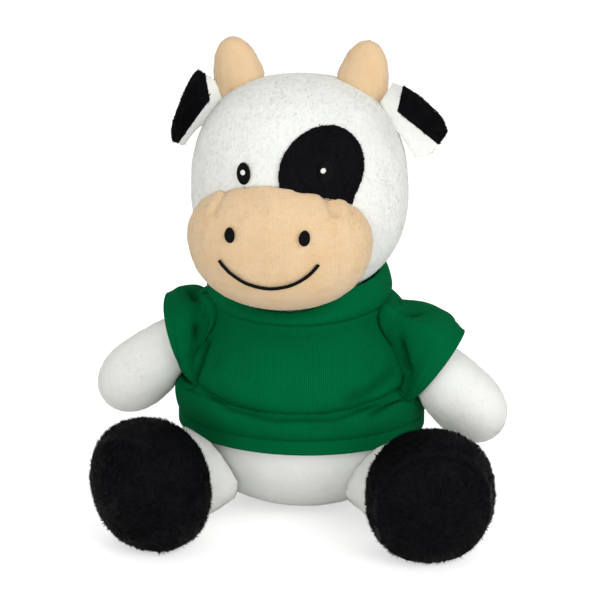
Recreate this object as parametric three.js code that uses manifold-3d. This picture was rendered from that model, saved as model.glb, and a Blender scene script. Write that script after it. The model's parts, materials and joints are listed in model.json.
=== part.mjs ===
// Plush cow sitting in a knitted T-shirt. Millimetres, +Z up, the face looks along -Y.
// The origin lies on the floor, in the middle of the flat seat of the torso.
// Left and right are the animal's own: its left side is on +X.

import * as THREE from "three";
import { mergeVertices } from "three/addons/utils/BufferGeometryUtils.js";
import Module from "manifold-3d";

const wasm = await Module();
wasm.setup();

// Clearances and overruns
const GAP = 0.3;
const RUN_OUT = 60;
const WELD = 0.0001;

// Torso: a pear that sits on a flat seat
const TORSO_WIDTH = 97;
const TORSO_DEPTH = 80;
const TORSO_HEIGHT = 87;
const TORSO_SWELL_SHARE = 0.43;
const TORSO_SEAT_POWER = 2.3;
const TORSO_CROWN_POWER = 3;
const SEAT_SINK = 0.5;

// Neck and head
const NECK_WIDTH = 46;
const NECK_LENGTH = 5;
const NECK_SEAM = 13;
const HEAD_WIDTH = 89;
const HEAD_DEPTH = 87;
const HEAD_HEIGHT = 90.5;
const HEAD_SWELL_SHARE = 0.47;
const HEAD_CHIN_POWER = 2.15;
const HEAD_CROWN_POWER = 2.5;
const HEAD_FORWARD = 5;
const HEAD_SHIFT = 1.5;
const HEAD_TURN_ANGLE = -4;
const HEAD_NOD_ANGLE = 4;
const HEAD_LEAN_ANGLE = -1;
const HEAD_SWING_ANGLE = 20;
const HEAD_DOWN_ANGLE = 2;
const HEAD_UP_ANGLE = 4.5;

// Muzzle: a pillow sewn over the lower face
const MUZZLE_WIDTH = 75;
const MUZZLE_DEPTH = 46;
const MUZZLE_HEIGHT = 55;
const MUZZLE_SWELL_SHARE = 0.54;
const MUZZLE_POWER = 2.25;
const MUZZLE_SHIFT = -1.5;
const MUZZLE_FORWARD = 33;
const MUZZLE_RISE = 6.5;

// Horns: two blunt thumbs
const HORN_WIDTH = 23;
const HORN_DEPTH = 17;
const HORN_LENGTH = 30;
const HORN_SWELL_SHARE = 0.22;
const HORN_POWER = 2.1;
const HORN_SPREAD = 23;
const HORN_SHIFT = -1.3;
const HORN_BACK = 13;
const HORN_RISE = 74.5;
const HORN_LEAN_ANGLE = 11;
const HORN_TILT_ANGLE = 1;

// Ears: a white leaf lined with black, cupped, hanging outwards
const EAR_LENGTH = 27.5;
const EAR_WIDTH = 23;
const EAR_LEAF = 2.2;
const EAR_CUP = 6;
const EAR_POWER = 2.6;
const EAR_WHITE_SHARE = 0.24;
const EAR_RIM_SHARE = 0.5;
const EAR_ROOT_SPREAD = 38.5;
const EAR_ROOT_BACK = 5;
const EAR_ROOT_RISE = 77.5;
const EAR_RIGHT_HIGHER = 3.2;
const EAR_HANG_RIGHT_ANGLE = 32;
const EAR_HANG_LEFT_ANGLE = 57;
const EAR_ABOVE_ROOT = 5;
const EAR_TURN_RIGHT_ANGLE = 42;
const EAR_TURN_LEFT_ANGLE = 8;
const EAR_FLOP_ANGLE = 10;
const EAR_TIP_SHARE = 0.04;
const EAR_FULL_SHARE = 0.42;
const EAR_ROOT_SHARE = 0.58;

// Embroidery and the inset patch, all thin layers on the plush
const THREAD = 0.8;
const EYE_WIDTH = 5.8;
const EYE_HEIGHT = 8.3;
const EYE_SPREAD = 16.2;
const EYE_RISE = 63.7;
const EYE_SHIFT = 2.9;
const EYE_LEFT_HIGHER = 1.6;
const GLINT_SIZE = 2;
const GLINT_RISE = 0.8;
const GLINT_LEFT_SHIFT = -0.9;
const PATCH_WIDTH = 31.2;
const PATCH_HEIGHT = 33.4;
const PATCH_SHIFT = 16.4;
const PATCH_RISE = 64;
const PATCH_LAYER = 0.9;
const NOSTRIL_WIDTH = 4.2;
const NOSTRIL_HEIGHT = 6;
const NOSTRIL_SPREAD = 14.7;
const NOSTRIL_RISE = 37;
const SMILE_RADIUS = 24;
const SMILE_REACH_ANGLE = 55;
const SMILE_LINE = 1.4;
const SMILE_RISE = 40;

// Arms: clubs that swell to the hand
const ARM_LENGTH = 70;
const ARM_WIDTH = 30;
const ARM_SWELL_SHARE = 0.28;
const ARM_HAND_POWER = 2.1;
const ARM_ROOT_POWER = 1.7;
const SHOULDER_SPREAD = 36;
const SHOULDER_FORWARD = 8;
const SHOULDER_BELOW = 6;
const ARM_SHOULDER_IN = 5;
const ARM_OUT_RIGHT_ANGLE = 48;
const ARM_OUT_LEFT_ANGLE = 47;
const ARM_FORWARD_RIGHT_ANGLE = -10;
const ARM_FORWARD_LEFT_ANGLE = 4;
const ARM_EASE = 1.1;
const ARM_BACK_ANGLE = 12;
const ARM_FORTH_ANGLE = 20;

// Legs and feet: short rolls with a big upright foot at the end
const LEG_LENGTH = 50;
const LEG_WIDTH = 36;
const LEG_HEIGHT = 32;
const LEG_SWELL_SHARE = 0.5;
const LEG_POWER = 2.4;
const HIP_SPREAD = 34;
const HIP_FORWARD = 14;
const HIP_RISE = 18;
const LEG_ROOT_IN = 8;
const LEG_TURN_RIGHT_ANGLE = 21;
const LEG_TURN_LEFT_ANGLE = 32;
const LEG_OUT_ANGLE = 12;
const LEG_IN_ANGLE = 12;
const FOOT_WIDTH = 52;
const FOOT_DEPTH = 42;
const FOOT_HEIGHT = 54.5;
const FOOT_POWER = 2.3;
const FOOT_REACH = 46;
const FOOT_TURN_RIGHT_ANGLE = -6;
const FOOT_TURN_LEFT_ANGLE = -19;
const FOOT_TILT_ANGLE = 8;
const SOLE_SET_BACK = 9;

// Tail: a thin roll with a tuft, on the back seam
const TAIL_WIDTH = 7;
const TAIL_LENGTH = 24;
const TAIL_POWER = 3;
const TAIL_RISE = 32;
const TAIL_LEAN_ANGLE = 24;
const TAIL_ROOT_IN = 2;
const TAIL_SWING_ANGLE = 20;
const TUFT_WIDTH = 13;
const TUFT_LENGTH = 18;
const TUFT_POWER = 1.7;

// T-shirt: knitted panels worn over the torso, with a roll above the hem
const CLOTH = 1.2;
const CLOTH_EASE = 1.4;
const SHIRT_HEM_RISE = 35;
const SHIRT_SHOULDER_SHARE = 0.55;
const SHIRT_ROLL = 2.2;
const SHIRT_ROLL_SHARE = 0.16;
const SHIRT_ROLL_SIDE_SHARE = 0.35;
const SHIRT_FOLD = 0.5;
const SHIRT_FOLD_COUNT = 7;
const UNDERARM_SHARE = 0.3;
const RAGLAN_SHARE = 0.46;
const RAGLAN_LOW_ANGLE = 48;
const RAGLAN_TOP_ANGLE = 72;
const SLEEVE_WIDTH = 36;
const SLEEVE_END_RIGHT = 19;
const SLEEVE_END_LEFT = 26;
const SLEEVE_OUT_RIGHT_ANGLE = 72;
const SLEEVE_OUT_LEFT_ANGLE = 52;
const SLEEVE_DROP_RIGHT = 6;
const SLEEVE_DROP_LEFT = 1;
const SLEEVE_ROOT_IN = 18;
const SLEEVE_SEAM = 0.8;
const SEAM_SHARE = 0.8;
const UNDERARM_ANGLE = 90;
const NECKBAND_RADIUS = 34.8;
const NECKBAND_FLARE = 2.5;
const NECKBAND_HEIGHT = 12;
const NECKBAND_THICK = 2.4;
const NECKBAND_OVER = 5;
const NECKBAND_FORWARD = 5;
const NECKBAND_TILT_ANGLE = 3;

// Facets
const BODY_FACETS = 24;
const BODY_RINGS = 14;
const LIMB_FACETS = 18;
const LIMB_RINGS = 12;
const SMALL_FACETS = 12;
const SMALL_RINGS = 8;
const SWING_STEP_ANGLE = 10;

const WHITE = 0xe9eae5;
const PEACH = 0xe6cda9;
const BLACK = 0x121014;
const GREEN = 0x01552d;

// Shapes
// A stuffed form along +Z from its own origin: it swells to its widest and narrows to both ends.
// foot and crown set how full the lower and the upper end are; grow makes it larger all round.
function stuffed({ length, width, depth = width, swellShare, foot, crown, facets, rings }, grow = 0) {
  const swell = length * swellShare;
  const outline = [];
  for (let ring = 0; ring <= rings; ring += 1) {
    const turn = Math.PI * (ring / rings - 1 / 2);
    const power = 2 / (turn < 0 ? foot : crown);
    const reach = (turn < 0 ? swell : length - swell) + grow;
    const atPole = ring % rings === 0;
    const radius = atPole ? 0 : (width / 2 + grow) * Math.cos(turn) ** power;
    const height = swell + Math.sign(turn) * reach * Math.abs(Math.sin(turn)) ** power;
    outline.push(new THREE.Vector2(radius, height));
  }
  const form = new THREE.LatheGeometry(outline, facets);
  form.rotateX(Math.PI / 2);
  form.scale(1, (depth / 2 + grow) / (width / 2 + grow), 1);
  return form;
}

// A thin closed layer between two surfaces: at(u, v, layer) gives its points, layer 0 inside and 1 outside.
// A round one meets itself, so that u = 0 and u = 1 are one line.
function layered(at, across, along, round = false) {
  const points = [];
  const faces = [];
  const index = (u, v, layer) => (layer * (along + 1) + v) * (across + 1) + u;
  for (let layer = 0; layer <= 1; layer += 1) {
    for (let v = 0; v <= along; v += 1) {
      for (let u = 0; u <= across; u += 1) {
        points.push(...at(u / across, v / along, layer));
      }
    }
  }
  const quad = (a, b, c, d) => faces.push(a, b, c, a, c, d);
  for (let v = 0; v < along; v += 1) {
    for (let u = 0; u < across; u += 1) {
      quad(index(u, v, 1), index(u + 1, v, 1), index(u + 1, v + 1, 1), index(u, v + 1, 1));
      quad(index(u, v, 0), index(u, v + 1, 0), index(u + 1, v + 1, 0), index(u + 1, v, 0));
    }
  }
  for (let u = 0; u < across; u += 1) {
    quad(index(u, 0, 0), index(u + 1, 0, 0), index(u + 1, 0, 1), index(u, 0, 1));
    quad(index(u, along, 1), index(u + 1, along, 1), index(u + 1, along, 0), index(u, along, 0));
  }
  for (let v = 0; v < along && !round; v += 1) {
    quad(index(0, v, 1), index(0, v + 1, 1), index(0, v + 1, 0), index(0, v, 0));
    quad(index(across, v, 0), index(across, v + 1, 0), index(across, v + 1, 1), index(across, v, 1));
  }
  const layerGeometry = new THREE.BufferGeometry();
  layerGeometry.setAttribute("position", new THREE.Float32BufferAttribute(points, 3));
  layerGeometry.setIndex(faces);
  return layerGeometry;
}

// A prism of an outline drawn in X and Z, running forwards along -Y from y = 0.
function forwardPrism(shape, x, z) {
  const prism = new THREE.ExtrudeGeometry(shape, {
    depth: RUN_OUT,
    bevelEnabled: false,
    curveSegments: SMALL_FACETS,
  });
  prism.rotateX(Math.PI / 2);
  prism.translate(x, 0, z);
  return prism;
}

function ellipse(width, height) {
  return new THREE.Shape().absellipse(0, 0, width / 2, height / 2, 0, 2 * Math.PI);
}

// Solids
function toSolid(geometry, matrix = new THREE.Matrix4()) {
  const bare = geometry.clone().applyMatrix4(matrix);
  bare.deleteAttribute("normal");
  bare.deleteAttribute("uv");
  const merged = mergeVertices(bare, WELD);
  const corners = merged.index.array;
  const faces = [];
  for (let i = 0; i < corners.length; i += 3) {
    const [a, b, c] = corners.slice(i, i + 3);
    if (a !== b && b !== c && c !== a) faces.push(a, b, c);
  }
  return new wasm.Manifold(new wasm.Mesh({
    numProp: 3,
    vertProperties: Float32Array.from(merged.attributes.position.array),
    triVerts: Uint32Array.from(faces),
  }));
}

function toGeometry(solid, matrix) {
  const { vertProperties, triVerts } = solid.getMesh();
  const geometry = new THREE.BufferGeometry();
  geometry.setAttribute("position", new THREE.BufferAttribute(vertProperties, 3));
  geometry.setIndex(new THREE.BufferAttribute(triVerts, 1));
  geometry.applyMatrix4(matrix);
  geometry.computeVertexNormals();
  return geometry;
}

const cow = new THREE.Group();

function placed(parent, position, rotation = [0, 0, 0], order = "ZXY") {
  const group = new THREE.Group();
  group.position.set(...position);
  group.rotation.set(...rotation.map(THREE.MathUtils.degToRad), order);
  parent.add(group);
  group.updateWorldMatrix(true, false);
  return group;
}

// Adds a piece to its group; its solid is given in the whole toy's frame.
function sew(name, group, solid, color, roughness) {
  const geometry = toGeometry(solid, group.matrixWorld.clone().invert());
  const mesh = new THREE.Mesh(geometry, new THREE.MeshStandardMaterial({ color, roughness, metalness: 0 }));
  mesh.name = name;
  group.add(mesh);
  return solid;
}

// A solid of a form in its group, in the whole toy's frame.
function solidIn(group, geometry) {
  return toSolid(geometry, group.matrixWorld);
}

// Takes away what a neighbour needs, in every position of a swing about a pivot of the toy's frame.
function cutInSwing(solid, neighbour, pivot, axis, low, high) {
  const there = new THREE.Matrix4().makeTranslation(...pivot);
  const back = there.clone().invert();
  const steps = Math.ceil((high - low) / SWING_STEP_ANGLE);
  let rest = solid;
  for (let step = 0; step <= steps; step += 1) {
    const angle = THREE.MathUtils.degToRad(low + ((high - low) * step) / steps);
    const turn = new THREE.Matrix4().makeRotationAxis(new THREE.Vector3(...axis), -angle);
    rest = rest.subtract(toSolid(neighbour, there.clone().multiply(turn).multiply(back)));
  }
  return rest;
}

// Everything below the floor, to sit the soft forms flat on it.
const belowFloor = toSolid(
  new THREE.BoxGeometry(TORSO_WIDTH * 3, TORSO_WIDTH * 4, RUN_OUT).translate(0, 0, -RUN_OUT / 2),
);

// Torso
const torsoForm = (grow) => stuffed({
  length: TORSO_HEIGHT + SEAT_SINK,
  width: TORSO_WIDTH,
  depth: TORSO_DEPTH,
  swellShare: TORSO_SWELL_SHARE,
  foot: TORSO_SEAT_POWER,
  crown: TORSO_CROWN_POWER,
  facets: BODY_FACETS,
  rings: BODY_RINGS,
}, grow).translate(0, 0, -SEAT_SINK);
const torso = sew("torso", cow, toSolid(torsoForm(0)).subtract(belowFloor), WHITE, 0.95);

// Head, on its neck seam
const headPivot = [HEAD_SHIFT, -HEAD_FORWARD, TORSO_HEIGHT + NECK_LENGTH];
const headGroup = placed(cow, headPivot, [HEAD_NOD_ANGLE, HEAD_LEAN_ANGLE, HEAD_TURN_ANGLE]);
const headForm = (grow) => stuffed({
  length: HEAD_HEIGHT,
  width: HEAD_WIDTH,
  depth: HEAD_DEPTH,
  swellShare: HEAD_SWELL_SHARE,
  foot: HEAD_CHIN_POWER,
  crown: HEAD_CROWN_POWER,
  facets: BODY_FACETS,
  rings: BODY_RINGS,
}, grow);
const headIn = (grow) => solidIn(headGroup, headForm(grow));
const head = sew("head", headGroup, headIn(0), WHITE, 0.95);

const neckForm = stuffed({
  length: NECK_LENGTH + NECK_SEAM * 2,
  width: NECK_WIDTH,
  swellShare: 1 / 2,
  foot: HEAD_CROWN_POWER,
  crown: HEAD_CROWN_POWER,
  facets: LIMB_FACETS,
  rings: SMALL_RINGS,
}).translate(HEAD_SHIFT, -HEAD_FORWARD, TORSO_HEIGHT - NECK_SEAM);
const headAboutNeck = headForm(GAP).applyMatrix4(headGroup.matrixWorld);
const neckUnderHead = cutInSwing(
  toSolid(neckForm), headAboutNeck, headPivot, [1, 0, 0], -HEAD_DOWN_ANGLE, HEAD_UP_ANGLE,
);
sew("neck", cow, cutInSwing(
  neckUnderHead, torsoForm(GAP), headPivot, [0, 0, 1], -HEAD_SWING_ANGLE, HEAD_SWING_ANGLE,
), WHITE, 0.95);

// Muzzle
const muzzleGroup = placed(headGroup, [MUZZLE_SHIFT, -MUZZLE_FORWARD, MUZZLE_RISE]);
const muzzleForm = (grow) => stuffed({
  length: MUZZLE_HEIGHT,
  width: MUZZLE_WIDTH,
  depth: MUZZLE_DEPTH,
  swellShare: MUZZLE_SWELL_SHARE,
  foot: MUZZLE_POWER,
  crown: MUZZLE_POWER,
  facets: BODY_FACETS,
  rings: BODY_RINGS,
}, grow);
const muzzleIn = (grow) => solidIn(muzzleGroup, muzzleForm(grow));
sew("muzzle", muzzleGroup, muzzleIn(0).subtract(headIn(GAP)), PEACH, 0.9);

// Patch round the left eye, under the muzzle's edge
const patchPrism = forwardPrism(ellipse(PATCH_WIDTH, PATCH_HEIGHT), PATCH_SHIFT, PATCH_RISE);
sew("eye_patch", headGroup, headIn(GAP + PATCH_LAYER)
  .subtract(headIn(GAP))
  .intersect(solidIn(headGroup, patchPrism))
  .subtract(muzzleIn(GAP)), BLACK, 0.95);

// Eyes and their glints: the left one lies on the patch
for (const [side, sign, base, rise, glintShift] of [
  ["right", -1, GAP, EYE_RISE, 0],
  ["left", 1, GAP * 2 + PATCH_LAYER, EYE_RISE + EYE_LEFT_HIGHER, GLINT_LEFT_SHIFT],
]) {
  const x = EYE_SHIFT + sign * EYE_SPREAD;
  const eyePrism = forwardPrism(ellipse(EYE_WIDTH, EYE_HEIGHT), x, rise);
  const glintPrism = forwardPrism(ellipse(GLINT_SIZE, GLINT_SIZE), x + glintShift, rise + GLINT_RISE);
  const eye = headIn(base + THREAD).subtract(headIn(base)).intersect(solidIn(headGroup, eyePrism));
  const glint = headIn(base + GAP + THREAD * 2)
    .subtract(headIn(base + GAP + THREAD))
    .intersect(solidIn(headGroup, glintPrism));
  sew(`eye_${side}`, headGroup, eye, BLACK, 0.5);
  sew(`eye_glint_${side}`, headGroup, glint, WHITE, 0.5);
}

// Nostrils and smile, stitched on the muzzle
const stitched = (prism) => muzzleIn(GAP + THREAD)
  .subtract(muzzleIn(GAP))
  .intersect(solidIn(muzzleGroup, prism));
for (const [side, sign] of [["right", -1], ["left", 1]]) {
  const nostril = forwardPrism(ellipse(NOSTRIL_WIDTH, NOSTRIL_HEIGHT), sign * NOSTRIL_SPREAD, NOSTRIL_RISE);
  sew(`nostril_${side}`, muzzleGroup, stitched(nostril), BLACK, 0.5);
}
const smileFrom = THREE.MathUtils.degToRad(-90 - SMILE_REACH_ANGLE);
const smileTo = THREE.MathUtils.degToRad(-90 + SMILE_REACH_ANGLE);
const smileLine = new THREE.Shape()
  .absarc(0, 0, SMILE_RADIUS + SMILE_LINE / 2, smileFrom, smileTo)
  .absarc(0, 0, SMILE_RADIUS - SMILE_LINE / 2, smileTo, smileFrom, true);
sew("smile", muzzleGroup, stitched(forwardPrism(smileLine, 0, SMILE_RISE)), BLACK, 0.5);

// Horns
const hornForm = (grow) => stuffed({
  length: HORN_LENGTH,
  width: HORN_WIDTH,
  depth: HORN_DEPTH,
  swellShare: HORN_SWELL_SHARE,
  foot: HORN_POWER,
  crown: HORN_POWER,
  facets: SMALL_FACETS,
  rings: SMALL_RINGS,
}, grow);
const horns = {};
for (const [side, sign] of [["right", -1], ["left", 1]]) {
  const lean = sign * HORN_LEAN_ANGLE + HORN_TILT_ANGLE;
  const hornGroup = placed(headGroup, [HORN_SHIFT + sign * HORN_SPREAD, HORN_BACK, HORN_RISE], [0, lean, 0]);
  horns[side] = hornGroup;
  sew(`horn_${side}`, hornGroup, solidIn(hornGroup, hornForm(0)).subtract(headIn(GAP)), PEACH, 0.9);
}

// Ears: each leaf hangs along -Z from its root, its rims drawn forwards. The black lining leaves the root
// and the lower rim of the white leaf bare.
const earLeaf = (front, sign) => layered((u, v, layer) => {
  const bare = front ? EAR_RIM_SHARE : 0;
  const across = THREE.MathUtils.lerp(sign > 0 ? bare - 1 : -1, sign > 0 ? 1 : 1 - bare, u);
  const along = THREE.MathUtils.lerp(front ? EAR_WHITE_SHARE : 0, 1 - EAR_TIP_SHARE, v);
  const fromMiddle = along - EAR_FULL_SHARE;
  const reach = fromMiddle < 0 ? EAR_ROOT_SHARE : 1 - EAR_FULL_SHARE;
  const full = (1 - Math.abs(fromMiddle / reach) ** EAR_POWER) ** (1 / EAR_POWER);
  const cup = EAR_CUP * across * across * full;
  const face = front ? -GAP / 2 - EAR_LEAF * (1 - layer) : GAP / 2 + EAR_LEAF * layer;
  return [(EAR_WIDTH / 2) * full * across, face - cup, EAR_ABOVE_ROOT - EAR_LENGTH * along];
}, SMALL_FACETS, SMALL_RINGS);
for (const [side, sign, hang, turn, rise] of [
  ["right", -1, EAR_HANG_RIGHT_ANGLE, EAR_TURN_RIGHT_ANGLE, EAR_ROOT_RISE + EAR_RIGHT_HIGHER],
  ["left", 1, EAR_HANG_LEFT_ANGLE, EAR_TURN_LEFT_ANGLE, EAR_ROOT_RISE],
]) {
  const root = [sign * EAR_ROOT_SPREAD, EAR_ROOT_BACK, rise];
  const earGroup = placed(headGroup, root, [0, -sign * hang, -sign * turn]);
  const pivot = new THREE.Vector3().setFromMatrixPosition(earGroup.matrixWorld);
  const headAbout = headForm(GAP).applyMatrix4(headGroup.matrixWorld);
  const hornAbout = hornForm(GAP).applyMatrix4(horns[side].matrixWorld);
  for (const [name, front, color] of [[`ear_${side}`, false, WHITE], [`ear_lining_${side}`, true, BLACK]]) {
    let ear = solidIn(earGroup, earLeaf(front, sign));
    for (const neighbour of [headAbout, hornAbout]) {
      ear = cutInSwing(ear, neighbour, pivot, [0, 1, 0], -EAR_FLOP_ANGLE, EAR_FLOP_ANGLE);
    }
    sew(name, earGroup, ear, color, 0.95);
  }
}

// Legs and feet
const footForm = (grow) => stuffed({
  length: FOOT_HEIGHT,
  width: FOOT_WIDTH,
  depth: FOOT_DEPTH,
  swellShare: 1 / 2,
  foot: FOOT_POWER,
  crown: FOOT_POWER,
  facets: LIMB_FACETS,
  rings: LIMB_RINGS,
}, grow);
const legForm = stuffed({
  length: LEG_LENGTH,
  width: LEG_WIDTH,
  depth: LEG_HEIGHT,
  swellShare: LEG_SWELL_SHARE,
  foot: LEG_POWER,
  crown: LEG_POWER,
  facets: LIMB_FACETS,
  rings: LIMB_RINGS,
}).rotateX(Math.PI / 2).translate(0, LEG_ROOT_IN, 0);
for (const [side, sign, legTurn, footTurn] of [
  ["right", -1, LEG_TURN_RIGHT_ANGLE, FOOT_TURN_RIGHT_ANGLE],
  ["left", 1, LEG_TURN_LEFT_ANGLE, FOOT_TURN_LEFT_ANGLE],
]) {
  const hip = [sign * HIP_SPREAD, -HIP_FORWARD, HIP_RISE];
  const legGroup = placed(cow, hip, [0, 0, sign * legTurn]);
  const footGroup = placed(legGroup, [0, -FOOT_REACH, -HIP_RISE - SEAT_SINK], [FOOT_TILT_ANGLE, 0, footTurn]);
  const infront = (y) => new THREE.BoxGeometry(FOOT_WIDTH * 2, FOOT_WIDTH * 2, FOOT_HEIGHT * 3)
    .translate(0, y - FOOT_WIDTH, FOOT_HEIGHT / 2);
  const footSolid = solidIn(footGroup, footForm(0)).subtract(belowFloor);
  const sole = footSolid.intersect(solidIn(footGroup, infront(-SOLE_SET_BACK)));
  const upper = footSolid.subtract(solidIn(footGroup, infront(GAP - SOLE_SET_BACK)));
  sew(`foot_${side}`, footGroup, upper, BLACK, 0.95);
  sew(`sole_${side}`, footGroup, sole, BLACK, 0.95);
  const legSolid = cutInSwing(
    solidIn(legGroup, legForm).subtract(solidIn(footGroup, footForm(GAP))),
    torsoForm(GAP), hip, [0, 0, sign], -LEG_IN_ANGLE, LEG_OUT_ANGLE,
  );
  sew(`leg_${side}`, legGroup, legSolid, WHITE, 0.95);
}

// Tail
const tailRoot = [0, TORSO_DEPTH / 2 - TAIL_ROOT_IN, TAIL_RISE];
const tailGroup = placed(cow, tailRoot, [TAIL_LEAN_ANGLE, 0, 0]);
const tailForm = stuffed({
  length: TAIL_LENGTH,
  width: TAIL_WIDTH,
  swellShare: 1 / 2,
  foot: TAIL_POWER,
  crown: TAIL_POWER,
  facets: SMALL_FACETS,
  rings: SMALL_RINGS,
}).translate(0, 0, -TAIL_LENGTH + TAIL_WIDTH / 2);
const tailSolid = cutInSwing(
  solidIn(tailGroup, tailForm), torsoForm(GAP), tailRoot, [0, 1, 0], -TAIL_SWING_ANGLE, TAIL_SWING_ANGLE,
);
const tuftForm = (grow) => stuffed({
  length: TUFT_LENGTH,
  width: TUFT_WIDTH,
  swellShare: 1 / 2,
  foot: TUFT_POWER,
  crown: TUFT_POWER,
  facets: SMALL_FACETS,
  rings: SMALL_RINGS,
}, grow).translate(0, 0, TAIL_WIDTH / 2 - TAIL_LENGTH - TUFT_LENGTH / 2);
sew("tail", tailGroup, tailSolid.subtract(solidIn(tailGroup, tuftForm(GAP))), WHITE, 0.95);
sew("tail_tuft", tailGroup, solidIn(tailGroup, tuftForm(0)), BLACK, 0.95);

// T-shirt
// The worn cloth follows the torso; it blouses into a roll above the hem and falls into shallow folds there.
const bandTilt = THREE.MathUtils.degToRad(NECKBAND_TILT_ANGLE);
const bandRise = TORSO_HEIGHT + NECKBAND_OVER;
function torsoRadius(rise, grow) {
  const swell = (TORSO_HEIGHT + SEAT_SINK) * TORSO_SWELL_SHARE - SEAT_SINK;
  const below = rise < swell;
  const reach = (below ? swell + SEAT_SINK : TORSO_HEIGHT - swell) + grow;
  const power = below ? TORSO_SEAT_POWER : TORSO_CROWN_POWER;
  return (1 - Math.min(1, Math.abs(rise - swell) / reach) ** power) ** (1 / power);
}
function shirtPoint(angle, heightShare, layer) {
  const neckRise = bandRise - GAP - NECKBAND_RADIUS * Math.cos(angle) * Math.sin(bandTilt);
  const rise = THREE.MathUtils.lerp(SHIRT_HEM_RISE, neckRise, heightShare);
  const off = CLOTH_EASE + CLOTH * layer;
  const fromRoll = (heightShare - SHIRT_ROLL_SHARE) / SHIRT_ROLL_SHARE;
  const aside = THREE.MathUtils.lerp(1, SHIRT_ROLL_SIDE_SHARE, Math.sin(angle) ** 2);
  const folded = SHIRT_ROLL * aside + SHIRT_FOLD * Math.cos(angle * SHIRT_FOLD_COUNT);
  const bulge = folded * Math.exp(-fromRoll * fromRoll);
  const around = torsoRadius(rise, off);
  const toNeck = THREE.MathUtils.smoothstep(heightShare, SHIRT_SHOULDER_SHARE, 1);
  const atNeck = NECKBAND_RADIUS + CLOTH * layer;
  const halfWidth = THREE.MathUtils.lerp((TORSO_WIDTH / 2 + off) * around + bulge, atNeck, toNeck);
  const halfDepth = THREE.MathUtils.lerp((TORSO_DEPTH / 2 + off) * around + bulge, atNeck, toNeck);
  const forward = THREE.MathUtils.lerp(0, NECKBAND_FORWARD, toNeck);
  return [halfWidth * Math.sin(angle), -halfDepth * Math.cos(angle) - forward, rise];
}
// Half of the front panel's angle at a height: full below the arms, then in along the raglan seam.
function raglanAngle(heightShare) {
  const toRaglan = THREE.MathUtils.smoothstep(heightShare, UNDERARM_SHARE, RAGLAN_SHARE);
  const seam = THREE.MathUtils.lerp(RAGLAN_LOW_ANGLE, RAGLAN_TOP_ANGLE, heightShare);
  return THREE.MathUtils.degToRad(THREE.MathUtils.lerp(90, seam, toRaglan));
}
const seamHalf = GAP / TORSO_DEPTH;
const shirtPanel = (turned, margin) => layered((u, v, layer) => {
  const angle = turned + (u * 2 - 1) * (raglanAngle(v) - seamHalf + margin / (TORSO_DEPTH / 2));
  return shirtPoint(angle, v, layer ? 1 + margin / CLOTH : -margin / CLOTH);
}, LIMB_FACETS, SMALL_RINGS);
sew("shirt_front", cow, toSolid(shirtPanel(0, 0)), GREEN, 0.85);
sew("shirt_back", cow, toSolid(shirtPanel(Math.PI, 0)), GREEN, 0.85);

// Arms, hanging outwards and a little forwards from the shoulders
const shoulderRise = TORSO_HEIGHT - SHOULDER_BELOW;
const armForm = (grow) => stuffed({
  length: ARM_LENGTH,
  width: ARM_WIDTH,
  swellShare: ARM_SWELL_SHARE,
  foot: ARM_HAND_POWER,
  crown: ARM_ROOT_POWER,
  facets: LIMB_FACETS,
  rings: LIMB_RINGS,
}, grow).translate(0, 0, ARM_SHOULDER_IN - ARM_LENGTH);
const arms = {};
for (const [side, sign, out, forward] of [
  ["right", -1, ARM_OUT_RIGHT_ANGLE, ARM_FORWARD_RIGHT_ANGLE],
  ["left", 1, ARM_OUT_LEFT_ANGLE, ARM_FORWARD_LEFT_ANGLE],
]) {
  const shoulder = [sign * SHOULDER_SPREAD, -SHOULDER_FORWARD, shoulderRise];
  const armGroup = placed(cow, shoulder, [-forward, -sign * out, 0], "YXZ");
  let arm = solidIn(armGroup, armForm(0));
  for (const neighbour of [torsoForm(GAP), shirtPanel(0, ARM_EASE), shirtPanel(Math.PI, ARM_EASE)]) {
    arm = cutInSwing(arm, neighbour, shoulder, [1, 0, 0], -ARM_FORTH_ANGLE, ARM_BACK_ANGLE);
  }
  arms[side] = armGroup;
  sew(`arm_${side}`, armGroup, arm, WHITE, 0.95);
}

// Neckband: a ribbed ring that stands up round the foot of the head and is pressed by the muzzle
const bandOutline = (inner, outer, low, high) => [
  new THREE.Vector2(inner, low),
  new THREE.Vector2(outer, low),
  new THREE.Vector2(outer + NECKBAND_FLARE, high),
  new THREE.Vector2(inner && inner + NECKBAND_FLARE, high),
  new THREE.Vector2(inner, low),
];
const bandGroup = placed(cow, [0, -NECKBAND_FORWARD, bandRise], [NECKBAND_TILT_ANGLE, 0, 0]);
const bandOuter = NECKBAND_RADIUS + NECKBAND_THICK;
const bandForm = (...edges) => new THREE.LatheGeometry(bandOutline(...edges), BODY_FACETS)
  .rotateX(Math.PI / 2);
const bandRing = solidIn(bandGroup, bandForm(NECKBAND_RADIUS, bandOuter, 0, NECKBAND_HEIGHT));
const bandInside = solidIn(bandGroup, bandForm(0, bandOuter + GAP, -GAP, RUN_OUT));
const muzzleAbout = muzzleForm(GAP).applyMatrix4(muzzleGroup.matrixWorld)
  .translate(...headPivot.map((at) => -at))
  .rotateX(THREE.MathUtils.degToRad(HEAD_DOWN_ANGLE))
  .translate(...headPivot);
const bandUnderMuzzle = cutInSwing(
  bandRing, muzzleAbout, headPivot, [0, 0, 1], -HEAD_SWING_ANGLE, HEAD_SWING_ANGLE,
);
sew("neckband", bandGroup, bandUnderMuzzle, GREEN, 0.9);

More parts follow.
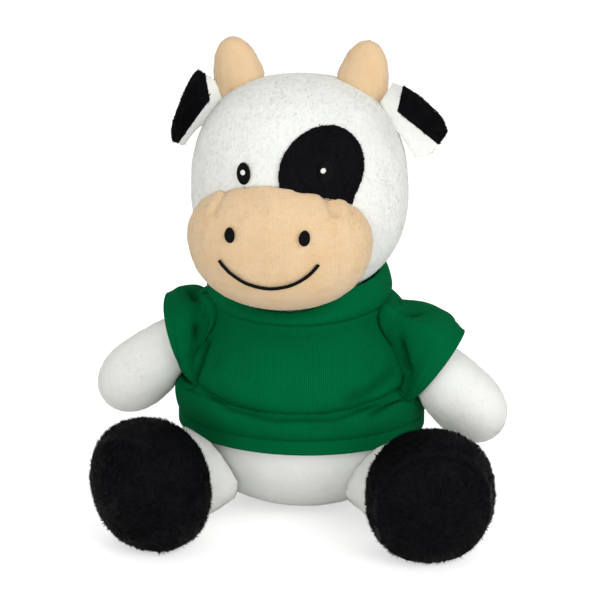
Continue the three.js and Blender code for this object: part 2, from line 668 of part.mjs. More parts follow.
// Sleeves: each is a tube from the raglan armhole, which runs up to the neckband, to its round hem
function armhole(turnShare) {
  const up = 1 - Math.abs(turnShare * 2 - 1);
  const heightShare = THREE.MathUtils.lerp(UNDERARM_SHARE, 1, Math.min(1, up / SEAM_SHARE));
  const edge = raglanAngle(heightShare) + SLEEVE_SEAM / (TORSO_DEPTH / 2);
  const atUnderarm = Math.PI / 2 - up * THREE.MathUtils.degToRad(UNDERARM_ANGLE);
  const inCrown = THREE.MathUtils.clamp((up - SEAM_SHARE) / (1 - SEAM_SHARE), 0, 1);
  const onSeam = Math.min(Math.max(edge, atUnderarm), Math.PI / 2);
  const fromFront = THREE.MathUtils.lerp(onSeam, Math.PI / 2, inCrown);
  const angle = turnShare < 1 / 2 ? fromFront : Math.PI - fromFront;
  return new THREE.Vector3(...shirtPoint(angle, heightShare, 0));
}
for (const [side, sign, out, end, drop] of [
  ["right", -1, SLEEVE_OUT_RIGHT_ANGLE, SLEEVE_END_RIGHT, SLEEVE_DROP_RIGHT],
  ["left", 1, SLEEVE_OUT_LEFT_ANGLE, SLEEVE_END_LEFT, SLEEVE_DROP_LEFT],
]) {
  const root = [sign * SHOULDER_SPREAD, -SHOULDER_FORWARD, shoulderRise - drop];
  const sleeveGroup = placed(cow, root, [0, -sign * out, 0]);
  const heart = new THREE.Vector3(0, 0, SLEEVE_ROOT_IN).applyMatrix4(sleeveGroup.matrixWorld);
  const tube = layered((u, v, layer) => {
    const turn = sign > 0 ? 1 - u : u;
    const seam = armhole(turn).multiply(new THREE.Vector3(sign, 1, 1));
    const round = new THREE.Vector3(
      -sign * Math.cos(turn * 2 * Math.PI), -Math.sin(turn * 2 * Math.PI), 0,
    ).transformDirection(sleeveGroup.matrixWorld);
    const rim = new THREE.Vector3(0, 0, -end).applyMatrix4(sleeveGroup.matrixWorld)
      .addScaledVector(round, SLEEVE_WIDTH / 2 - CLOTH);
    const outward = seam.clone().sub(heart).normalize().lerp(round, v).normalize();
    const point = seam.lerp(rim, v).addScaledVector(outward, CLOTH * layer);
    return point.toArray();
  }, BODY_FACETS, SMALL_RINGS, true);
  const sleeve = toSolid(tube)
    .subtract(solidIn(arms[side], armForm(GAP)))
    .subtract(toSolid(torsoForm(GAP)))
    .subtract(toSolid(shirtPanel(0, GAP)))
    .subtract(toSolid(shirtPanel(Math.PI, GAP)))
    .subtract(bandInside);
  sew(`sleeve_${side}`, sleeveGroup, sleeve, GREEN, 0.85);
}

export default cow;
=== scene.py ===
import json
import math

import bpy
import numpy as np
from mathutils import Matrix, Vector
from mathutils.bvhtree import BVHTree


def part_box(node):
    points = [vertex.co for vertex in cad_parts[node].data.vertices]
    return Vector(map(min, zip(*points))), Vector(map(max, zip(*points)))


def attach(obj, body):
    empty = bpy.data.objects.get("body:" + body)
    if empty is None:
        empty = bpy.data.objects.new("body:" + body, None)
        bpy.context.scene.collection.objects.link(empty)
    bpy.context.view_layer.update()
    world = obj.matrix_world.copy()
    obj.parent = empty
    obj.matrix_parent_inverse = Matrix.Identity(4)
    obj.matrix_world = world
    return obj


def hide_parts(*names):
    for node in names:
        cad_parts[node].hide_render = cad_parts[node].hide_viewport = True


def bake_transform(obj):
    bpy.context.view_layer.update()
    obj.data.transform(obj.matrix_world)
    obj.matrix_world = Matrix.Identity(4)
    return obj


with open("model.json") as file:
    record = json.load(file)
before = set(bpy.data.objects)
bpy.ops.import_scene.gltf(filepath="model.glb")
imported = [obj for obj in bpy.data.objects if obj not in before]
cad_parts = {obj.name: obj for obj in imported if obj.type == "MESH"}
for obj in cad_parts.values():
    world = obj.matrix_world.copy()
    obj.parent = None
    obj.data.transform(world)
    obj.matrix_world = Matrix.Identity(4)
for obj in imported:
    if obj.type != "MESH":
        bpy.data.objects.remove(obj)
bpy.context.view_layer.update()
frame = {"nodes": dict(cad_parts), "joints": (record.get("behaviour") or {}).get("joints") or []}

# A plush cow sits in a knitted T-shirt and looks along -Y. Its own left side is on +X.
# Every piece is sewn round the solid of the same name in the frame.
MM = 0.001

# Camera
# The toy is seen from a little above and from its left, with a long lens from a metre away.
VIEW_TURN = math.radians(8)
VIEW_RISE = math.radians(18)
VIEW_AWAY = 1000 * MM
VIEW_MIDDLE = Vector((0, -4 * MM, 88 * MM))
VIEW_LENS = 146.3

view_back = Vector((
    math.sin(VIEW_TURN) * math.cos(VIEW_RISE),
    -math.cos(VIEW_TURN) * math.cos(VIEW_RISE),
    math.sin(VIEW_RISE),
))
camera = bpy.data.objects.new("camera", bpy.data.cameras.new("camera"))
camera.data.lens = VIEW_LENS
camera.data.sensor_width = 36
camera.location = VIEW_MIDDLE + view_back * VIEW_AWAY
camera.rotation_euler = view_back.to_track_quat("Z", "Y").to_euler()
bpy.context.scene.collection.objects.link(camera)
bpy.context.scene.camera = camera


# Finishes
# A finish is a material under construction. A wire is one of its sockets, so that shader maths reads as maths.
class Wire:
    def __init__(self, finish, socket):
        self.finish = finish
        self.socket = socket

    def maths(self, operation, *values):
        return self.finish.node("ShaderNodeMath", {"operation": operation}, dict(enumerate(values)))

    def wave(self, pitch):
        """Smooth ridges between -1 and 1, one for each pitch."""
        return self.maths("SINE", self * (2 * math.pi / pitch))

    def __add__(self, other):
        return self.maths("ADD", self, other)

    def __sub__(self, other):
        return self.maths("SUBTRACT", self, other)

    def __mul__(self, other):
        return self.maths("MULTIPLY", self, other)

    __radd__ = __add__
    __rmul__ = __mul__


class Finish:
    def __init__(self, name, **constants):
        self.material = bpy.data.materials.new(name)
        self.material.use_nodes = True
        self.nodes = self.material.node_tree.nodes
        self.links = self.material.node_tree.links
        self.surface = self.nodes["Principled BSDF"]
        for socket, value in constants.items():
            self.surface.inputs[socket.replace("_", " ")].default_value = value

    def put(self, socket, value):
        if isinstance(value, Wire):
            self.links.new(value.socket, socket)
        else:
            socket.default_value = value

    def node(self, kind, settings=None, sockets=None, out=0):
        """Any node, with its settings and its inputs, as the wire from one of its outputs."""
        made = self.nodes.new(kind)
        for name, value in (settings or {}).items():
            setattr(made, name, value)
        for name, value in (sockets or {}).items():
            self.put(made.inputs[name], value)
        return Wire(self, made.outputs[out])

    def mix(self, share, low, high):
        low = low if isinstance(low, Wire) else (*low, 1)
        high = high if isinstance(high, Wire) else (*high, 1)
        return self.node("ShaderNodeMix", {"data_type": "RGBA"}, {0: share, 6: low, 7: high}, 2)

    def place(self):
        return self.node("ShaderNodeTexCoord", None, None, "Object")

    def noise(self, vector, size, detail):
        sockets = {"Vector": vector, "Scale": 1 / size, "Detail": detail}
        return self.node("ShaderNodeTexNoise", None, sockets, "Fac")

    def bump(self, height, depth, strength):
        sockets = {"Height": height, "Distance": depth, "Strength": strength}
        self.put(self.surface.inputs["Normal"], self.node("ShaderNodeBump", None, sockets))

    def colour(self, value):
        self.put(self.surface.inputs["Base Color"], value)


# Room
# A plain white floor and an even white sky. A wide soft lamp stands at the upper right, a weaker one low in
# front, and one hangs behind. Camera and mirrors see the sky at full strength and the floor nearly white.
KEY_PLACE, KEY_WIDTH, KEY_POWER = (850 * MM, -800 * MM, 700 * MM), 900 * MM, 8
FILL_PLACE, FILL_WIDTH, FILL_POWER = (-240 * MM, -1120 * MM, 130 * MM), 700 * MM, 6
BACK_PLACE, BACK_WIDTH, BACK_POWER = (-420 * MM, 420 * MM, 1150 * MM), 700 * MM, 1.5
SKY_STRENGTH = 0.64
FLOOR_WIDTH = 8000 * MM
FLOOR_TONE, FLOOR_SEEN, FLOOR_GLOW = (0.75,) * 3, (0.8,) * 3, (0.52,) * 3

for name, place, width, power in [
    ("key_lamp", KEY_PLACE, KEY_WIDTH, KEY_POWER),
    ("fill_lamp", FILL_PLACE, FILL_WIDTH, FILL_POWER),
    ("back_lamp", BACK_PLACE, BACK_WIDTH, BACK_POWER),
]:
    lamp = bpy.data.objects.new(name, bpy.data.lights.new(name, "AREA"))
    lamp.data.size = width
    lamp.data.energy = power
    lamp.location = place
    lamp.rotation_euler = (Vector(place) - VIEW_MIDDLE).to_track_quat("Z", "Y").to_euler()
    bpy.context.scene.collection.objects.link(lamp)

world = bpy.data.worlds.new("sky")
world.use_nodes = True
bpy.context.scene.world = world
bpy.context.scene.view_settings.view_transform = "Standard"
sky = world.node_tree
seen = sky.nodes.new("ShaderNodeLightPath")
either = sky.nodes.new("ShaderNodeMath")
either.operation = "MAXIMUM"
sky.links.new(seen.outputs["Is Camera Ray"], either.inputs[0])
sky.links.new(seen.outputs["Is Glossy Ray"], either.inputs[1])
strength = sky.nodes.new("ShaderNodeMapRange")
strength.inputs["To Min"].default_value = SKY_STRENGTH
strength.inputs["To Max"].default_value = 1
sky.links.new(either.outputs[0], strength.inputs["Value"])
sky.nodes["Background"].inputs["Color"].default_value = (1, 1, 1, 1)
sky.links.new(strength.outputs["Result"], sky.nodes["Background"].inputs["Strength"])

bpy.ops.object.select_all(action="DESELECT")
bpy.ops.mesh.primitive_plane_add(size=FLOOR_WIDTH)
floor = bpy.context.object
floor.name = "floor"
floor_finish = Finish("floor_white", Roughness=1.0, Specular_IOR_Level=0.0, Emission_Strength=1.0)
path = floor_finish.node("ShaderNodeLightPath", None, None, "Is Camera Ray")
path = path.maths("MAXIMUM", path, floor_finish.node("ShaderNodeLightPath", None, None, "Is Glossy Ray"))
floor_finish.colour(floor_finish.mix(path, FLOOR_TONE, FLOOR_SEEN))
floor_finish.put(floor_finish.surface.inputs["Emission Color"], floor_finish.mix(path, (0, 0, 0), FLOOR_GLOW))
floor.data.materials.append(floor_finish.material)


# Head
# A stuffed ball of white plush. The pile is about 1.5 mm long and lies down towards the chin. None grows
# under the muzzle, the patch and the horns, which are sewn on, nor close round the right eye's stitches.
WHITE = (0.82, 0.83, 0.79)
# Painted shade: the pile's roots, and the cover under the pile, are darker in this tone.
WHITE_ROOT_SHADE = (0.74, 0.75, 0.71)
# Slow random clouds of this tone are painted shade where the pile lies differently.
WHITE_WISP = (0.74, 0.752, 0.715)
WHITE_PILE = dict(length=1.6 * MM, width=0.7 * MM, per_mm2=1.5, lean=0.94, unruly=0.045)
CLOUD_SIZE, GRAIN_SIZE, GRAIN_DEPTH = 9 * MM, 0.7 * MM, 0.12 * MM
ROW_PITCH_ACROSS, ROW_PITCH_UP = 0.95 * MM, 0.8 * MM
COVER_VOXEL = 3 * MM
COVER_IN = 0.25 * MM
COVER_SWELL = 1.1 * MM
SEAM_HELD, SEAM_EASES = 2 * MM, 4 * MM
STUFFING_PRESSURE, STUFFING_FRAMES = 4, 20
PILE_UNDER, PILE_COVERED = 0.3 * MM, 9 * MM
PILE_WANDERS = 14 * MM
PILE_OFF_FLOOR = 0.02 * MM
# Tufts vary in length. Over the painted shade at its root, each tuft's tip gets a random lightness, and the
# cover under the pile is partly painted with the root shade.
TUFT_LENGTHS, TIP_LIGHTNESS, UNDER_PILE_SHADE = (0.7, 1.15), (0.1, 1.3), 0.5
# Folds pressed this deep get the knit's full painted shade.
FOLD_FULL_SHADE = 2 * MM
SEAM_POINTS = 8


def only(*objects):
    """Selects these objects alone; the first is the active one."""
    bpy.ops.object.select_all(action="DESELECT")
    for each in objects:
        each.select_set(True)
    bpy.context.view_layer.objects.active = objects[0]


def added(name, mesh):
    """A new object in the scene, at the origin."""
    made = bpy.data.objects.new(name, mesh)
    bpy.context.scene.collection.objects.link(made)
    return made


def applied(piece, kind, **settings):
    """Finishes a piece with one modifier."""
    only(piece)
    modifier = piece.modifiers.new(kind, kind)
    for name, value in settings.items():
        setattr(modifier, name, value)
    bpy.ops.object.modifier_apply(modifier=modifier.name)


def corners(mesh, name="co"):
    """A mesh's vertex places, or their normals, as an array."""
    items = mesh.vertices if name == "co" else mesh.vertex_normals
    found = np.empty(len(items) * 3, np.float32)
    items.foreach_get("co" if name == "co" else "vector", found)
    return found.reshape(-1, 3).astype(float)


def move(mesh, places):
    mesh.vertices.foreach_set("co", np.asarray(places, np.float32).ravel())
    mesh.update()


def marked(mesh, name, values):
    """Gives each vertex a value that a finish can read."""
    layer = mesh.attributes.new(name, "FLOAT", "POINT")
    layer.data.foreach_set("value", np.asarray(values, np.float32).ravel())


def tree(*pieces):
    """The surfaces of these pieces, or solids of the frame by name, to measure from."""
    places, faces = [], []
    for piece in pieces:
        mesh = (frame["nodes"][piece] if isinstance(piece, str) else piece).data
        start = len(places)
        places += [v.co.copy() for v in mesh.vertices]
        faces += [[start + i for i in face.vertices] for face in mesh.polygons]
    return BVHTree.FromPolygons(places, faces)


def merged(piece):
    """Merges a piece's doubles."""
    only(piece)
    bpy.ops.object.mode_set(mode="EDIT")
    bpy.ops.mesh.select_all(action="SELECT")
    bpy.ops.mesh.remove_doubles(threshold=0.01 * MM)
    bpy.ops.object.mode_set(mode="OBJECT")


def copy_of(node, name):
    """A loose copy of a solid of the frame."""
    piece = added(name, frame["nodes"][node].data.copy())
    piece.data.materials.clear()
    merged(piece)
    return piece


def stuffed_cover(node, name, seams, voxel=COVER_VOXEL, swell=COVER_SWELL):
    """Sews a cover round a solid and stuffs it: held at its seams, it swells a little between them."""
    piece = copy_of(node, name)
    applied(piece, "REMESH", mode="VOXEL", voxel_size=voxel, use_smooth_shade=True)
    applied(piece, "SMOOTH", factor=0.5, iterations=4)
    start = corners(piece.data)
    normals = corners(piece.data, "normal")
    near = tree(*seams)
    away = np.array([near.find_nearest(Vector(p))[3] for p in start])
    held = np.clip(1 - (away - SEAM_HELD) / SEAM_EASES, 0, 1)
    move(piece.data, start - normals * (COVER_IN * (1 - held))[:, None])
    group = piece.vertex_groups.new(name="seam")
    for index, weight in enumerate(held):
        group.add([index], float(weight), "REPLACE")
    cloth = piece.modifiers.new("stuffing", "CLOTH")
    cloth.settings.use_pressure = True
    cloth.settings.uniform_pressure_force = STUFFING_PRESSURE
    cloth.settings.vertex_group_mass = "seam"
    cloth.settings.effector_weights.gravity = 0
    for moment in range(1, STUFFING_FRAMES + 1):
        bpy.context.scene.frame_set(moment)
    blown = corners(piece.evaluated_get(bpy.context.evaluated_depsgraph_get()).data)
    piece.modifiers.remove(cloth)
    piece.vertex_groups.clear()
    way = blown - start
    far = np.linalg.norm(way, axis=1, keepdims=True)
    move(piece.data, start + way * np.minimum(1, swell / np.maximum(far, 1e-9)))
    bpy.context.scene.frame_set(1)
    applied(piece, "SUBSURF", levels=1, render_levels=1)
    bpy.ops.object.shade_smooth()
    return piece


def plush(name, tone, root, wisp, rows=0, **constants):
    """Plush: the pile is darker at its root by painted shade, and slow random clouds of painted shade show
    where it lies differently. In a short velour the rows of the knit behind it show."""
    finish = Finish(name, **constants)
    place = finish.place()
    tip = finish.node("ShaderNodeAttribute", {"attribute_name": "tip"}, None, "Fac")
    cloud = finish.noise(place, CLOUD_SIZE, 3)
    grain = finish.noise(place, GRAIN_SIZE, 1)
    # Painted shade: the pile darkens towards its roots, where the tip attribute is low.
    lit = finish.mix(tip * 0.8 + grain * 0.35, root, tone)
    if rows:
        across = finish.node("ShaderNodeSeparateXYZ", None, {0: place}, 0)
        up = finish.node("ShaderNodeSeparateXYZ", None, {0: place}, 2)
        grid = across.wave(ROW_PITCH_ACROSS) * 0.5 + up.wave(ROW_PITCH_UP) * 0.5
        lit = finish.mix(grid * rows + rows, lit, wisp)
    # Slow random clouds of painted shade, where the pile lies differently.
    finish.colour(finish.mix((cloud - 0.45) * 2.2, lit, wisp))
    finish.bump(grain, GRAIN_DEPTH, 0.6)
    return finish.material


def waves(places, size, seed, ways=6):
    """Slow, smooth, repeatable noise between about -1 and 1."""
    draw = np.random.default_rng(seed)
    total = np.zeros(len(places))
    for _ in range(ways):
        way = draw.normal(size=3)
        way *= 2 * np.pi / (size * draw.uniform(0.7, 1.4)) / np.linalg.norm(way)
        total += np.sin(places @ way + draw.uniform(0, 2 * np.pi))
    return total / math.sqrt(ways)


def grow_pile(cover, name, finish, nap, seed, length, width, per_mm2, lean, unruly, under=(), round=()):
    """Roots tufts in a cover. They lean along the nap. None grows where another piece lies close over the
    cover, which goes under it, or within a tuft's length round a piece that the pile would hide."""
    mesh = cover.data
    mesh.calc_loop_triangles()
    faces = np.empty(len(mesh.loop_triangles) * 3, np.int32)
    mesh.loop_triangles.foreach_get("vertices", faces)
    faces = faces.reshape(-1, 3)
    places, normals = corners(mesh), corners(mesh, "normal")
    a, b, c = (places[faces[:, i]] for i in range(3))
    areas = np.linalg.norm(np.cross(b - a, c - a), axis=1) / 2
    draw = np.random.default_rng(seed)
    count = int(areas.sum() / MM**2 * per_mm2)
    picked = draw.choice(len(faces), count, p=areas / areas.sum())
    share = draw.dirichlet((1, 1, 1), count)
    roots = np.einsum("ij,ijk->ik", share, places[faces[picked]])
    up = np.einsum("ij,ijk->ik", share, normals[faces[picked]])
    up /= np.linalg.norm(up, axis=1, keepdims=True)
    for names, near, far in ((under, PILE_UNDER, PILE_COVERED), (round, length, 2 * length)):
        if names:
            over = tree(*names)
            free = [
                over.ray_cast(Vector(p), Vector(n), far)[0] is None
                and over.find_nearest(Vector(p), near)[0] is None
                for p, n in zip(roots, up)
            ]
            roots, up = roots[free], up[free]
    count = len(roots)
    flow = nap(roots) + 0.5 * np.stack([waves(roots, PILE_WANDERS, seed + i) for i in range(3)], 1)
    flow -= up * np.sum(flow * up, axis=1, keepdims=True)
    flow /= np.maximum(np.linalg.norm(flow, axis=1, keepdims=True), 1e-9)
    way = up * (1 - lean) + flow * lean + draw.normal(size=(count, 3)) * unruly
    way /= np.linalg.norm(way, axis=1, keepdims=True)
    side = np.cross(way, up)
    side /= np.maximum(np.linalg.norm(side, axis=1, keepdims=True), 1e-9)
    back = np.cross(side, way)
    long = length * draw.uniform(*TUFT_LENGTHS, (count, 1))
    foot = roots - up * width * 0.25
    tuft = np.stack([
        foot + side * width * 0.5,
        foot - side * width * 0.5,
        foot + back * width * 0.3,
        roots + way * long,
    ], 1)
    tuft[..., 2] = np.maximum(tuft[..., 2], PILE_OFF_FLOOR)
    shine = np.stack([up + side * 0.1, up - side * 0.1, up + back * 0.1, up + way * 0.1], 1)
    corner = np.array([[0, 1, 3], [1, 2, 3], [2, 0, 3], [0, 2, 1]])
    index = (np.arange(count)[:, None, None] * 4 + corner[None]).reshape(-1, 3)
    pile = bpy.data.meshes.new(name)
    pile.vertices.add(count * 4)
    pile.vertices.foreach_set("co", tuft.astype(np.float32).ravel())
    pile.loops.add(len(index) * 3)
    pile.loops.foreach_set("vertex_index", index.astype(np.int32).ravel())
    pile.polygons.add(len(index))
    pile.polygons.foreach_set("loop_start", np.arange(0, len(index) * 3, 3, dtype=np.int32))
    # Each tuft has a small cell of the map of its own.
    cells = math.ceil(math.sqrt(count))
    cell = np.stack([np.arange(count) % cells, np.arange(count) // cells], 1)[:, None, None] / cells
    spots = np.array([[0.1, 0.1], [0.45, 0.1], [0.9, 0.5], [0.5, 0.9]])[corner] / cells
    layer = pile.uv_layers.new(name="OFBake")
    layer.data.foreach_set("uv", (cell + spots[None]).astype(np.float32).ravel())
    pile.update(calc_edges=True)
    # Painted shade: each tuft is darkest at its root, and its tip is lighter by a random amount.
    marked(pile, "tip", np.outer(draw.uniform(*TIP_LIGHTNESS, count), [0, 0, 0, 1]))
    pile.shade_smooth()
    shine /= np.linalg.norm(shine, axis=2, keepdims=True)
    pile.normals_split_custom_set_from_vertices(shine.reshape(-1, 3).tolist())
    grown = added(name, pile)
    pile.materials.append(finish)
    return grown


def tips_on(cover):
    """Painted shade: a cover under its pile is about as dark as the pile's roots."""
    marked(cover.data, "tip", np.full(len(cover.data.vertices), UNDER_PILE_SHADE))


def creased(piece, folds):
    """Presses folds into a surface, or raises them where depth is negative, and marks deep places for painted
    shade.
    A fold is a line of points, its depth and its half width, all in millimetres. It fades out at both
    ends, but a line of many points is a seam, which doesn't."""
    places, normals = corners(piece.data), corners(piece.data, "normal")
    pressed = np.zeros(len(places))
    for line, depth, width in folds:
        line = np.array(line, float) * MM
        runs = np.linalg.norm(line[1:] - line[:-1], axis=1)
        ends = np.concatenate([[0], np.cumsum(runs)])
        nearest, at = np.full(len(places), np.inf), np.zeros(len(places))
        for start, end, run, begun in zip(line, line[1:], runs, ends):
            share = np.clip((places - start) @ (end - start) / run**2, 0, 1)
            off = np.linalg.norm(places - start - share[:, None] * (end - start), axis=1)
            closer = off < nearest
            nearest[closer], at[closer] = off[closer], (begun + share * run)[closer] / ends[-1]
        fade = np.clip(np.minimum(at, 1 - at) * 5 + (len(line) > SEAM_POINTS), 0, 1)
        pressed += depth * MM * np.exp(-(nearest / (width * MM)) ** 2) * fade * (2 - fade)
    move(piece.data, places - normals * pressed[:, None])
    # The mark says how deep each place is pressed; the knit paints shade in the folds from it.
    marked(piece.data, "fold", np.clip(pressed / FOLD_FULL_SHADE, 0, 1))


def dressed(
    node, body, slot, seams, finish, nap, seed, pile, voxel=COVER_VOXEL, swell=COVER_SWELL, fill=0.9, folds=(),
    shape=None, bend=None, **bare,
):
    """A stuffed piece with its pile. It rides on its body, unless it is given bend points, when it rides on
    none.
    """
    cover = stuffed_cover(node, f"{node}_cover", seams, voxel, swell)
    if shape:
        move(cover.data, shape(corners(cover.data)))
        applied(cover, "SMOOTH", factor=0.5, iterations=3)
    creased(cover, folds)
    cover.data.materials.append(finish)
    tips_on(cover)
    grown = grow_pile(cover, f"{node}_pile", finish, nap, seed, **pile, **bare)
    for piece in (cover, grown):
        if bend:
            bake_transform(piece)
        else:
            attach(piece, body)
    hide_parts(node)
    return cover


def downwards(roots):
    return np.tile([0.0, 0.0, -1.0], (len(roots), 1))


white_plush = plush(
    "white_plush", WHITE, WHITE_ROOT_SHADE, WHITE_WISP, Roughness=0.9, Specular_IOR_Level=0.2,
    Sheen_Weight=0.25, Sheen_Roughness=0.6,
)
head_trim = ["muzzle", "eye_patch", "horn_right", "horn_left", "ear_right", "ear_left", "neck"]
dressed(
    "head", "head", "white_plush", head_trim, white_plush, downwards, 11, WHITE_PILE,
    under=["muzzle", "eye_patch", "horn_right", "horn_left"], round=["eye_right"],
)

# Patch round the left eye
# A disc of black plush, sewn into the head's cover round its rim. Its pile lies down like the head's, and the
# muzzle's seam crosses its lower edge, which goes on a little way under the muzzle.
BLACK = (0.0062, 0.0062, 0.0079)
# Painted shade at the roots of the black pile.
BLACK_ROOT_SHADE = (0.0002, 0.0002, 0.0003)
# Slow random clouds of this tone are painted shade where the pile lies differently.
BLACK_WISP = (0.0012, 0.0012, 0.0016)
BLACK_PILE = dict(length=1.4 * MM, width=0.5 * MM, per_mm2=1.9, lean=0.84, unruly=0.1)
TUCKED = 2.6 * MM
TUCK_REACH = 1.6

black_plush = plush("black_plush", BLACK, BLACK_ROOT_SHADE, BLACK_WISP, Roughness=0.6, Specular_IOR_Level=0.03)


def tucked(solid, way):
    """The edge of a piece goes on under a solid that it meets, from the reach in millimetres away from it."""
    def form(places):
        near = tree(solid)
        away = np.array([near.find_nearest(Vector(p))[3] for p in places])
        return places + TUCKED * np.clip(TUCK_REACH - away / MM, 0, 1)[:, None] * np.array(way)
    return form


dressed(
    "eye_patch", "head", "black_plush", ["head"], black_plush, downwards, 12, BLACK_PILE, voxel=0.45 * MM,
    swell=0.3 * MM, shape=tucked("muzzle", (0, -0.25, -1)), under=["muzzle"], round=["eye_left"],
)

# Muzzle
# A pillow of short peach velour, stuffed by itself and sewn over the lower face. The knit behind the pile
# shows as fine rows, and short darts and soft creases gather its upper edge.
PEACH = (0.735, 0.565, 0.375)
# Painted shade at the roots of the velour's pile.
PEACH_ROOT_SHADE = (0.63, 0.44, 0.26)
# Slow random clouds of this tone are painted shade where the pile lies differently; the rows of the knit behind
# the pile show in it too.
PEACH_WISP = (0.66, 0.44, 0.22)
PEACH_ROWS = 0.32
VELOUR_PILE = dict(length=0.7 * MM, width=0.35 * MM, per_mm2=2.0, lean=0.8, unruly=0.12)
peach_plush = plush(
    "peach_plush", PEACH, PEACH_ROOT_SHADE, PEACH_WISP, PEACH_ROWS, Roughness=0.9, Specular_IOR_Level=0.2,
    Sheen_Weight=0.25, Sheen_Roughness=0.6,
)
MUZZLE_FOLDS = [
    ([(13, -44, 150), (17.7, -50, 144.4), (21.5, -54.5, 138)], 2.0, 2.2),
    ([(27, -44, 143), (29, -51, 138), (31, -56, 131)], 0.9, 2.2),
    ([(-21, -42, 149), (-25.3, -49.4, 142.6), (-28, -54, 136)], 1.5, 2.2),
    ([(23, -46, 146), (26, -53, 139)], -1.0, 2.6),
    ([(-6, -46, 150), (-4, -55, 145), (0, -60, 138)], -0.8, 6),
    ([(-36, -42, 122), (-37, -47, 112), (-32, -50, 103)], 0.8, 3),
    ([(-12, -62, 132), (-8, -64, 122), (-9, -64, 112)], 0.5, 6),
]
MUZZLE_CORNERS_DOWN, MUZZLE_CORNERS_POWER = 4.5 * MM, 2.5
muzzle_low, muzzle_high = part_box("muzzle")


def muzzle_form(places):
    """The muzzle's upper corners are drawn down, so that it is narrower at its top."""
    middle, half = np.array(muzzle_low + muzzle_high) / 2, np.array(muzzle_high - muzzle_low) / 2
    share = (places - middle) / half
    down = MUZZLE_CORNERS_DOWN * np.clip(share[:, 2], 0, 1) * np.abs(share[:, 0]) ** MUZZLE_CORNERS_POWER
    return places - down[:, None] * np.array([0, 0, 1])


dressed(
    "muzzle", "head", "peach_plush", ["head"], peach_plush, downwards, 13, VELOUR_PILE,
    voxel=1.3 * MM, swell=1.4 * MM, shape=muzzle_form, folds=MUZZLE_FOLDS, under=["head"],
    round=["nostril_right", "nostril_left", "smile"],
)

# Horns
# Two blunt thumbs of the muzzle's velour, stuffed and sewn on behind the brow. Their pile stands up towards
# the tips, and their open ends are turned in under the seam with the head.
def upwards(roots):
    return -downwards(roots)


for side in ("right", "left"):
    dressed(
        f"horn_{side}", "head", "peach_plush", ["head"], peach_plush, upwards, 14, VELOUR_PILE,
        voxel=1.2 * MM, shape=tucked("head", (0, 0, -1)), under=["head"],
    )


# Eyes, glints, nostrils and smile
# Satin stitch in black and white thread through the covers of head, patch and muzzle: close, shiny rows that
# stand up in a low dome. The threads of the smile run across its line.
THREAD_PITCH = 0.42 * MM
THREAD_RIDGE = 0.05 * MM
THREAD_DOME = 0.35 * MM
THREAD_VOXEL = 0.22 * MM
THREAD_BUMP = 0.12 * MM
SMILE_RADIUS, SMILE_CENTRE_UP = 24 * MM, 11 * MM
# The gap tones are painted shade between the rows of thread.
BLACK_THREAD, BLACK_THREAD_GAP = (0.005, 0.005, 0.006), (0.001, 0.001, 0.001)
WHITE_THREAD, WHITE_THREAD_GAP = (0.88, 0.88, 0.86), (0.6, 0.6, 0.58)


def satin(name, tone, gap, **constants):
    """Thread: the rows follow the attribute that says how far across the threads a point lies."""
    finish = Finish(name, **constants)
    thread = finish.node("ShaderNodeAttribute", {"attribute_name": "thread"}, None, "Fac")
    ridge = thread.wave(THREAD_PITCH) * 0.5 + 0.5
    # Painted shade between the rows of thread.
    finish.colour(finish.mix(ridge, gap, tone))
    finish.bump(ridge, THREAD_BUMP, 0.8)
    return finish.material


def stitched(node, finish, rows):
    """Embroidery in the place of its thin solid. Rows gives each point's place across the threads."""
    piece = copy_of(node, f"{node}_stitches")
    applied(piece, "REMESH", mode="VOXEL", voxel_size=THREAD_VOXEL, use_smooth_shade=True)
    applied(piece, "SMOOTH", factor=0.5, iterations=3)
    places, normals = corners(piece.data), corners(piece.data, "normal")
    middle = places.mean(axis=0)
    rim = np.linalg.norm(places - middle, axis=1)
    dome = THREAD_DOME * np.clip(1 - (rim / rim.max()) ** 2, 0, 1) if node != "smile" else 0
    thread = rows(places)
    lift = np.maximum(0, -normals[:, 1]) * (dome + THREAD_RIDGE * np.sin(2 * np.pi * thread / THREAD_PITCH))
    move(piece.data, places + normals * lift[:, None])
    marked(piece.data, "thread", thread)
    piece.data.materials.append(finish)
    bpy.ops.object.shade_smooth()
    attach(piece, "head")
    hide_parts(node)


black_thread = satin(
    "black_thread", BLACK_THREAD, BLACK_THREAD_GAP, Roughness=0.45, Specular_IOR_Level=0.05,
)
white_thread = satin("white_thread", WHITE_THREAD, WHITE_THREAD_GAP, Roughness=0.5, Specular_IOR_Level=0.4)
smile_low, smile_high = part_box("smile")
smile_middle = np.array([(smile_low.x + smile_high.x) / 2, smile_high.z + SMILE_CENTRE_UP])
for side in ("right", "left"):
    stitched(f"eye_{side}", black_thread, lambda places: places[:, 2])
    stitched(f"eye_glint_{side}", white_thread, lambda places: places[:, 0])
    stitched(f"nostril_{side}", black_thread, lambda places: places[:, 2])
stitched(
    "smile", black_thread,
    lambda places: SMILE_RADIUS * np.arctan2(places[:, 0] - smile_middle[0], smile_middle[1] - places[:, 2]),
)


# Ears
# Each is a leaf of white plush with a lining of black plush in front, sewn together and hardly stuffed. It is
# caught in a seam of the head at its root. The lining stops short of the root and of the lower rim.
def pivot(joint):
    """Where a joint of the frame turns."""
    return Vector(next(each["pos_m"] for each in frame["joints"] if each["name"] == joint))


def smoothstep(value, low, high):
    """0 below the low value, 1 above the high one, and smooth between."""
    share = np.clip((value - low) / (high - low), 0, 1)
    return share * share * (3 - 2 * share)


def away_from(centre):
    """A nap that spreads from a point."""
    def nap(roots):
        out = roots - np.array(centre)
        return out / np.maximum(np.linalg.norm(out, axis=1, keepdims=True), 1e-9)
    return nap


